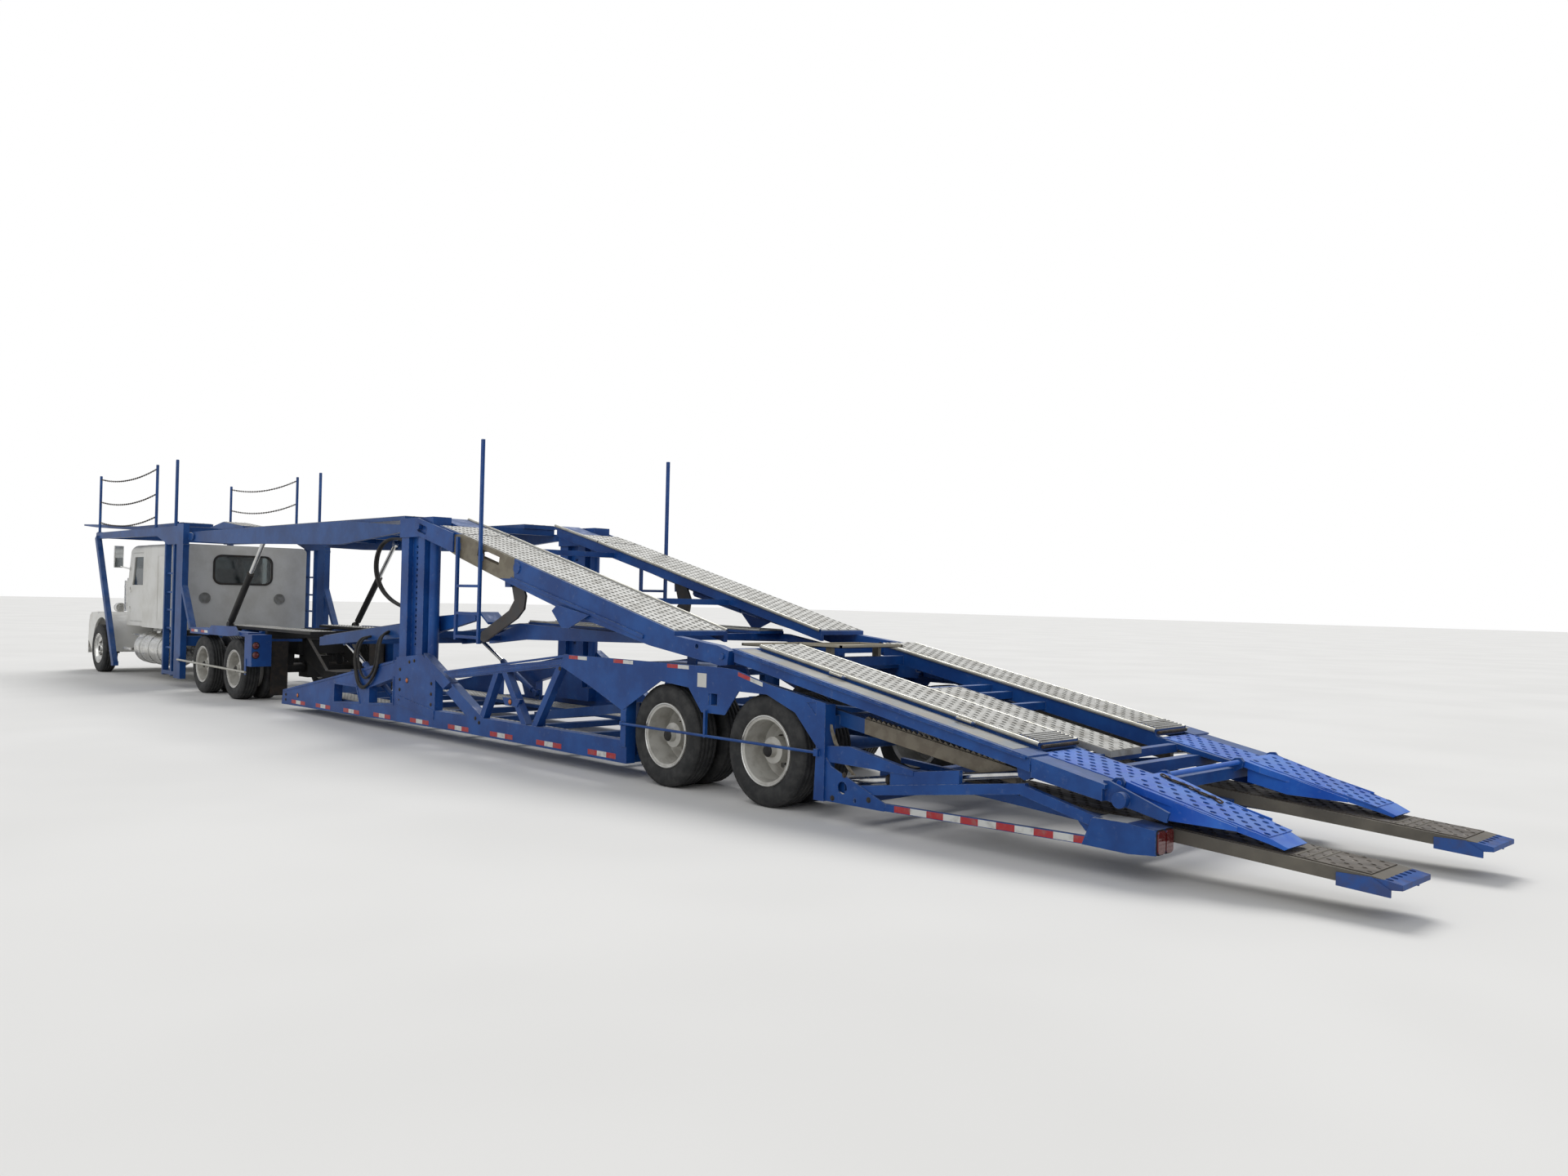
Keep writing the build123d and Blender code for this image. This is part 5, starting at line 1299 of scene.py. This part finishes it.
@dataclass
class RearCylinderFittings:
    """Rubber bellows and their bands on the rear deck's two lift cylinders."""

    foot: Pair = (-0.770, 0.290)
    eye: Pair = (-2.480, 0.560)
    width: float = 1.142
    pleats: int = 7
    start: float = 0.520
    length: float = 0.140
    bands: tuple[float, ...] = (0.505, 0.665, 1.120)

    def place(self, along: float, sign: int) -> Vector:
        """Find a point of a cylinder's axis.

        Args:
            along: its distance from the cylinder's foot.
            sign: the side's sign of Y.

        Returns:
            The point.
        """
        dx, dz = self.eye[0] - self.foot[0], self.eye[1] - self.foot[1]
        share = along / math.hypot(dx, dz)
        return at(self.foot[0] + dx * share, sign * self.width, self.foot[1] + dz * share)

    def build(self) -> None:
        """Make both bellows with their clips."""
        maker = MeshMaker()
        steps = 2 * self.pleats
        for sign in SIDES:
            path = [self.place(self.start + self.length * k / steps, sign) for k in range(steps + 1)]
            maker.tube(path, [0.052 if k % 2 else 0.040 for k in range(steps + 1)], 24)
            for along in self.bands:
                maker.tube([self.place(along - 0.012, sign), self.place(along + 0.012, sign)], 0.0425, 24, 1)
        maker.build("cylinder_bellows", "rear_lift_barrels", [HOSE_RUBBER, CAST_IRON], "cab_trim")


# Head rack


@dataclass
class GuardRails:
    """Guard posts of the head rack with welded link chains and their tall poles."""

    post_x: Pair = (19.040, 15.620)
    pole_x: float = 14.580
    width: float = 1.225
    foot_z: float = 2.7053
    chain_z: tuple[float, ...] = (2.900, 3.300, 3.740)
    sag: float = 0.110
    pitch: float = 0.062
    link_size: tuple[float, float, float] = (0.037, 0.012, 0.0048)

    def build(self) -> None:
        """Make posts, poles and chains of both sides in one piece that stands for the CAD's."""
        maker = MeshMaker()
        for y in (sign * self.width for sign in SIDES):
            for x in self.post_x:
                post = [at(x, y, z) for z in (self.foot_z, 3.802, 3.810)]
                maker.tube(post, [0.024, 0.024, 0.018], 20)
                maker.tube([at(x, y, self.foot_z), at(x, y, self.foot_z + 0.012)], 0.045, 20)
            pole = [at(self.pole_x, y, z) for z in (self.foot_z, 3.820, 3.829)]
            maker.tube(pole, [0.026, 0.026, 0.019], 20)
            for z in self.chain_z:
                self.add_chain(maker, y, z)
        made = maker.build("guard_rails", "tractor", [RACK_BLUE, CAST_IRON], "blue_paint")
        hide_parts("guard_posts")

    def add_chain(self, maker: MeshMaker, y: float, height: float) -> None:
        """Add one sagging chain link by link between the two posts.

        Args:
            maker: the mesh that takes it.
            y: the chain's place across the lorry.
            height: Z of its two ends.
        """
        start, end = self.post_x[0] - 0.030, self.post_x[1] + 0.030
        count = round((start - end) / self.pitch)
        for k in range(count):
            share = (k + 0.5) / count
            centre = at(start + (end - start) * share, y, height - 4 * self.sag * share * (1 - share))
            rise = -4 * self.sag * (1 - 2 * share) / (end - start)
            along = Vector((1.0, 0.0, rise)).normalized()
            across = Vector((0.0, 1.0, 0.0)) if k % 2 else Vector((-rise, 0.0, 1.0)).normalized()
            maker.link(centre, along, across, self.link_size, 1)


# Tractor


@dataclass
class CabFittings:
    """Lamps, lenses, mirror glass, wipers and rear lamps of the tractor."""

    roof_lamps: tuple[float, ...] = (-0.62, -0.20, 0.0, 0.20, 0.62)
    lamp_z: float = 1.240
    lamp_y: float = 0.700
    rear_lamp_z: Pair = (0.840, 0.700)
    rear_lamp_r: float = 0.048
    tape_x: Pair = (13.600, 13.150)
    tape_block: float = 0.15

    def build(self) -> None:
        """Make what rides on the hood, then what is on the cab and the frame."""
        hood, cab = MeshMaker(), MeshMaker()
        for y in (sign * self.lamp_y for sign in SIDES):
            hood.turned([(0.0, 0.020), (0.040, 0.014), (0.066, 0.005), (0.076, 0.0), (0.077, -0.004)],
                        at(19.612, y, self.lamp_z), 36, 0, "X")
            hood.turned([(0.0765, 0.003), (0.0930, 0.001), (0.0935, -0.020)],
                        at(19.5905, y, self.lamp_z), 36, 1, "X")
        hood.build("headlamp_lenses", "hood", [CLEAR_LENS, CHROME], "pane")
        for y in self.roof_lamps:
            centre = at(17.520, y, 2.4395)
            cab.turned([(0.0, 0.0), (0.030, 0.0)], centre, 16, 0, "Z")
            cab.turned([(0.034, 0.0), (0.030, 0.018), (0.018, 0.026), (0.0, 0.028)], centre, 20, 0, "Z")
        for sign in SIDES:
            self.add_front(cab, sign)
            self.add_rear(cab, sign)
        cab.build("cab_fittings", "tractor",
                  [AMBER_LENS, MIRROR, HOSE_RUBBER, RED_LENS, RED_TAPE, WHITE_TAPE], "pane")

    def add_front(self, maker: MeshMaker, sign: int) -> None:
        """Add one side's mirror glass and its wiper on the windscreen.

        Args:
            maker: the mesh that takes them.
            sign: the side's sign of Y.
        """
        outline = rounded_outline(sign * 1.165, 0.066, 2.034, 2.416, 0.02)
        maker.plate(outline, at(17.9484, 0, 0).x, at(17.9502, 0, 0).x, 1, "X")
        maker.tube([at(17.946, sign * 0.300, 1.772), at(17.855, sign * 0.560, 2.070)], 0.006, 8, 2)

    def add_rear(self, maker: MeshMaker, sign: int) -> None:
        """Add one side's rear lamps with their rubber rings and the tape on its fender.

        Args:
            maker: the mesh that takes them.
            sign: the side's sign of Y.
        """
        radius = self.rear_lamp_r
        for z in self.rear_lamp_z:
            centre = at(11.0000, sign * 1.190, z)
            maker.turned([(0.0, -0.014), (radius * 0.7, -0.010), (radius, -0.002), (radius, 0.0)], centre, 28,
                         3, "X")
            maker.turned([(radius, -0.006), (radius + 0.008, -0.004), (radius + 0.009, 0.0)], centre, 28,
                         2, "X")
        for x in self.tape_x:
            for k in range(2):
                maker.block(at(x - self.tape_block * k, sign * 1.2501, 0.965),
                            at(x - self.tape_block * (k + 1), sign * 1.2511, 1.005), 4 + k)


@dataclass
class DriveWheelBar:
    """Round guard bar outside the drive wheels on each side, with its two flat brackets."""

    front: Pair = (14.190, 0.476)
    rear: Pair = (11.180, 0.440)
    width: float = 1.268
    radius: float = 0.017

    def build(self) -> None:
        """Make both bars."""
        maker = MeshMaker()
        for sign in SIDES:
            maker.tube([at(x, sign * self.width, z) for x, z in (self.front, self.rear)], self.radius, 20)
            maker.block(at(14.150, sign * 1.2475, 0.430), at(14.230, sign * 1.2585, 0.520), 1)
            maker.block(at(11.190, sign * 1.2505, 0.400), at(11.250, sign * 1.2585, 0.640), 1)
        maker.build("drive_wheel_bars", "tractor", [TUBE_ALUMINIUM, BLUE_PAINT], "blue_paint")


# Loose gear


@dataclass
class Trays:
    """Pressed beige trays that lie on the cross members where the two decks meet."""

    rim: float = 0.018
    sheet: float = 0.006
    rim_height: float = 0.026

    def build(self) -> None:
        """Make one tray on each deck."""
        self.tray("tray_on_rear_deck", "rear_deck", (-0.120, 0.400), (-0.330, 0.480), 1.2000, 0.088)
        self.tray("tray_on_upper_deck", "upper_deck", (0.765, 1.300), (-0.480, 0.330), 1.2502, 0.0)

    def tray(self, name: str, body: str, ends: Pair, widths: Pair, seat: float,
             legs: float) -> None:
        """Make one tray with a raised rim.

        Args:
            name: the piece's name.
            body: the deck that it lies on.
            ends: its X range.
            widths: its Y range.
            seat: Z of what it stands on.
            legs: height of the two bars under it, or 0.
        """
        maker = MeshMaker()
        low = seat + legs
        maker.block(at(ends[0], widths[0], low), at(ends[1], widths[1], low + self.sheet))
        for x in (ends[0], ends[1] - self.rim):
            maker.block(at(x, widths[0], low), at(x + self.rim, widths[1], low + self.rim_height))
        for y in (widths[0], widths[1] - self.rim):
            maker.block(at(ends[0], y, low), at(ends[1], y + self.rim, low + self.rim_height))
        if legs:
            for y in (widths[0] + 0.08, widths[1] - 0.12):
                maker.block(at(0.065, y, seat), at(0.135, y + 0.040, low + 0.001))
        maker.build(name, body, [TRAY_BEIGE], "white_paint")


@dataclass
class LoadChain:
    """Short load chain dropped on the left flip ramp."""

    pitch: float = 0.048
    link_size: tuple[float, float, float] = (0.030, 0.012, 0.0055)
    ramp_top: Pair = (-3.200, 0.5908)
    ramp_slope: float = 0.2630
    lift: float = 0.0175
    line: tuple[Pair, ...] = (
        (-3.210, 0.700), (-3.300, 0.730), (-3.400, 0.715), (-3.500, 0.745), (-3.600, 0.735), (-3.660, 0.770))

    def build(self) -> None:
        """Lay the links along the ramp's top, turned to and fro."""
        maker = MeshMaker()
        count = 0
        for (x0, y0), (x1, y1) in zip(self.line, self.line[1:]):
            steps = max(1, round(math.hypot(x1 - x0, y1 - y0) / self.pitch))
            along = Vector((x1 - x0, y1 - y0, (x1 - x0) * self.ramp_slope)).normalized()
            flat = along.cross(Vector((0, 0, 1))).normalized()
            for k in range(steps):
                share = (k + 0.5) / steps
                x, y = x0 + (x1 - x0) * share, y0 + (y1 - y0) * share
                z = self.ramp_top[1] + (x - self.ramp_top[0]) * self.ramp_slope + self.lift
                tilted = (flat + Vector((0, 0, 0.7 if count % 2 else -0.2))).normalized()
                across = (tilted - along * tilted.dot(along)).normalized()
                maker.link(at(x, y, z), along, across, self.link_size)
                count += 1
        maker.build("load_chain", "flip_ramps", [CAST_IRON], "iron")


@dataclass(frozen=True)
class Hose:
    """One hydraulic hose between two unions on the same body, by points given from the rear axle."""

    name: str
    body: str
    length: float
    points: tuple[Point, ...]
    diameter: float = 0.030

    def beside(self, name: str, shift: Point, length: float) -> "Hose":
        """Hose that runs beside this one.

        Args:
            name: its own name.
            shift: how far along X, Y and Z each of its points lies from this hose's, in metres.
            length: its length.

        Returns:
            The second hose.
        """
        points = tuple(tuple(a + b for a, b in zip(point, shift)) for point in self.points)
        return replace(self, name=name, length=length, points=points)

    def build(self) -> None:
        data = bpy.data.curves.new(self.name, "CURVE")
        data.dimensions = "3D"
        data.bevel_depth = self.diameter / 2
        data.bevel_resolution = 3
        data.use_fill_caps = True
        data.resolution_u = 8
        spline = data.splines.new("NURBS")
        spline.points.add(len(self.points) - 1)
        for slot, place in zip(spline.points, self.points):
            slot.co = (*at(*place), 1.0)
        spline.order_u = 3
        spline.use_endpoint_u = True
        data.materials.append(HOSE_RUBBER.material())
        made = bpy.data.objects.new(self.name, data)
        bpy.context.scene.collection.objects.link(made)
        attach(made, self.body)
        LOG.info("%s: %.2f m of hose on %s", self.name, self.length, self.body)


NECK_HOSE = Hose("neck_hose_long", "neck_deck", 1.81, (
    (7.510, 1.100, 1.100), (7.510, 1.170, 1.098), (7.508, 1.240, 1.030), (7.490, 1.275, 0.900),
    (7.460, 1.276, 0.720), (7.400, 1.276, 0.570), (7.300, 1.276, 0.490), (7.170, 1.276, 0.500),
    (7.020, 1.276, 0.590), (6.880, 1.276, 0.740), (6.830, 1.275, 0.920), (6.860, 1.250, 1.080),
    (6.910, 1.170, 1.185), (6.930, 1.100, 1.190)))
SHORT_HOSE = Hose("neck_hose_short", "neck_deck", 1.50, (
    (7.430, 1.100, 1.110), (7.430, 1.170, 1.106), (7.428, 1.240, 1.030), (7.415, 1.276, 0.920),
    (7.390, 1.277, 0.790), (7.330, 1.277, 0.670), (7.240, 1.277, 0.600), (7.130, 1.277, 0.610),
    (7.010, 1.277, 0.680), (6.920, 1.277, 0.800), (6.905, 1.272, 0.950), (6.940, 1.245, 1.060),
    (6.990, 1.170, 1.150), (7.000, 1.100, 1.160)))
POST_HOSE = Hose("post_hose", "trailer", 1.81, (
    (6.420, 1.130, 2.300), (6.520, 1.132, 2.310), (6.700, 1.150, 2.340), (6.900, 1.180, 2.310),
    (7.060, 1.190, 2.200), (7.130, 1.190, 2.020), (7.080, 1.190, 1.850), (6.960, 1.180, 1.700),
    (6.780, 1.160, 1.590), (6.600, 1.140, 1.530), (6.500, 1.130, 1.505), (6.420, 1.130, 1.500)))
HOSES = (NECK_HOSE, SHORT_HOSE, POST_HOSE,
         NECK_HOSE.beside("neck_hose_middle", (0.034, -0.003, -0.020), 1.81),
         POST_HOSE.beside("post_hose_second", (0.006, 0.030, -0.002), 1.81))


# Studio


@dataclass
class Studio:
    """Floor, lights and the camera at the photograph's place."""

    eye: tuple[float, float, float] = (-7.084, 7.946, 1.686)
    yaw: float = 0.7716
    pitch: float = 0.0103
    roll: float = 0.0227
    focal_px: float = 1466.76
    image_px: tuple[int, int] = (1920, 1440)
    sensor_mm: float = 36.0
    floor_half: float = 160.0

    def build(self) -> None:
        """Make the camera, the lights, the world and the floor."""
        self.add_camera()
        self.add_world()
        self.add_lights()
        self.add_floor()

    def add_camera(self) -> None:
        """Place the camera from the measured turn angles and focal length."""
        cy, sy, cp, sp = math.cos(self.yaw), math.sin(self.yaw), math.cos(self.pitch), math.sin(self.pitch)
        forward = Vector((cy * cp, -sy * cp, sp))
        right = Vector((-sy, -cy, 0.0))
        up = right.cross(forward)
        right_turned = right * math.cos(self.roll) + up * math.sin(self.roll)
        up_turned = up * math.cos(self.roll) - right * math.sin(self.roll)
        turn = Matrix((right_turned, up_turned, -forward)).transposed()
        data = bpy.data.cameras.new("camera")
        data.sensor_width = self.sensor_mm
        data.lens = self.focal_px * self.sensor_mm / self.image_px[0]
        data.clip_end = 400.0
        camera = bpy.data.objects.new("camera", data)
        bpy.context.scene.collection.objects.link(camera)
        camera.matrix_world = Matrix.Translation(at(*self.eye)) @ turn.to_4x4()
        bpy.context.scene.camera = camera

    def add_world(self) -> None:
        """White to the camera and in reflections, a soft grey light elsewhere."""
        world = bpy.data.worlds.new("studio")
        bpy.context.scene.world = world
        world.use_nodes = True
        tree = world.node_tree
        tree.nodes.clear()
        path = add_node(tree, "ShaderNodeLightPath").outputs
        seen = times(tree, path["Is Camera Ray"], path["Is Transmission Ray"], "MAXIMUM")
        soft, white, gloss = (
            add_node(tree, "ShaderNodeBackground", {"Color": linear(colour), "Strength": strength}).outputs[0]
            for colour, strength in (("E8ECF2", 0.55), ("FFFFFF", 1.0), ("F4F5F7", 0.8)))
        shown = add_node(tree, "ShaderNodeMixShader", {0: path["Is Glossy Ray"], 1: soft, 2: gloss})
        mixed = add_node(tree, "ShaderNodeMixShader", {0: seen, 1: shown.outputs[0], 2: white})
        add_node(tree, "ShaderNodeOutputWorld", {"Surface": mixed.outputs[0]})

    def add_lights(self) -> None:
        """One broad key from high on the camera's side, and a weak one from behind."""
        for name, energy, size, turn in (("key", 1.9, 30, (38, 0, 40)), ("fill", 0.8, 60, (55, 0, -150))):
            data = bpy.data.lights.new(name, "SUN")
            data.energy = energy
            data.angle = math.radians(size)
            lamp = bpy.data.objects.new(name, data)
            lamp.rotation_euler = [math.radians(a) for a in turn]
            bpy.context.scene.collection.objects.link(lamp)

    def add_floor(self) -> None:
        """A wide floor under the tyres, white towards the horizon."""
        size = self.floor_half
        mesh = bpy.data.meshes.new("studio_floor")
        mesh.from_pydata([(-size, -size, 0), (size, -size, 0), (size, size, 0), (-size, size, 0)], [],
                         [(0, 1, 2, 3)])
        mesh.materials.append(FLOOR.material())
        floor = bpy.data.objects.new("studio_floor", mesh)
        floor.location.z = -0.001
        bpy.context.scene.collection.objects.link(floor)


NODE_FINISHES: tuple[tuple[Finish, str], ...] = (
    (CHASSIS_BLACK, "tractor_frame knuckle_left knuckle_right deck_lift_barrels"),
    (CAST_IRON, "engine_block"),
    (CAB_WHITE, "cab_shell hood_shell door_left door_right"),
    (SLEEPER_WHITE, "sleeper_shell"),
    (CAB_TRIM, "cab_interior"),
    (PANE, "cab_glass door_glass_left door_glass_right"),
    (POLISHED, "front_bumper fuel_tanks air_cleaners mirrors grille_and_headlamps rear_lift_barrels"),
    (RACK_BLUE, "headrack_frame headrack_deck tractor_deck neck_deck"),
    (FENDER_BLUE, "drive_fenders"),
    (CHROME, "deck_lift_rods rear_lift_rods neck_lift_rods"),
    (BLUE_PAINT, "trailer_side_left trailer_side_right trailer_tail post_carriages rear_deck"),
    (BLUE_PAINT, "neck_lift_barrels"),
    (FLOOR_BLUE, "trailer_floor"),
    (UPPER_BLUE, "upper_deck"),
    (HOOK_BLUE, "middle_deck"),
    (BRIGHT_BLUE, "flip_ramps"),
    (SLIDE_STEEL, "slide_ramps"),
)
"""Finish of each CAD node that the scene shows as it is."""


def main() -> None:
    """Build every assembly in order."""
    logging.basicConfig(level=logging.INFO, format="%(name)s %(message)s")
    Studio().build()
    for finish, nodes in NODE_FINISHES:
        for node in nodes.split():
            dress(node, finish)
    for hose in HOSES:
        hose.build()
    for assembly in (Wheels(), DeckTracks(), RearDeckFittings(), SideTrim(), RearCylinderFittings(),
                     GuardRails(), CabFittings(), DriveWheelBar(), Trays(), LoadChain()):
        assembly.build()
    bpy.context.scene.view_settings.view_transform = "Standard"


if __name__ == "__main__":
    main()
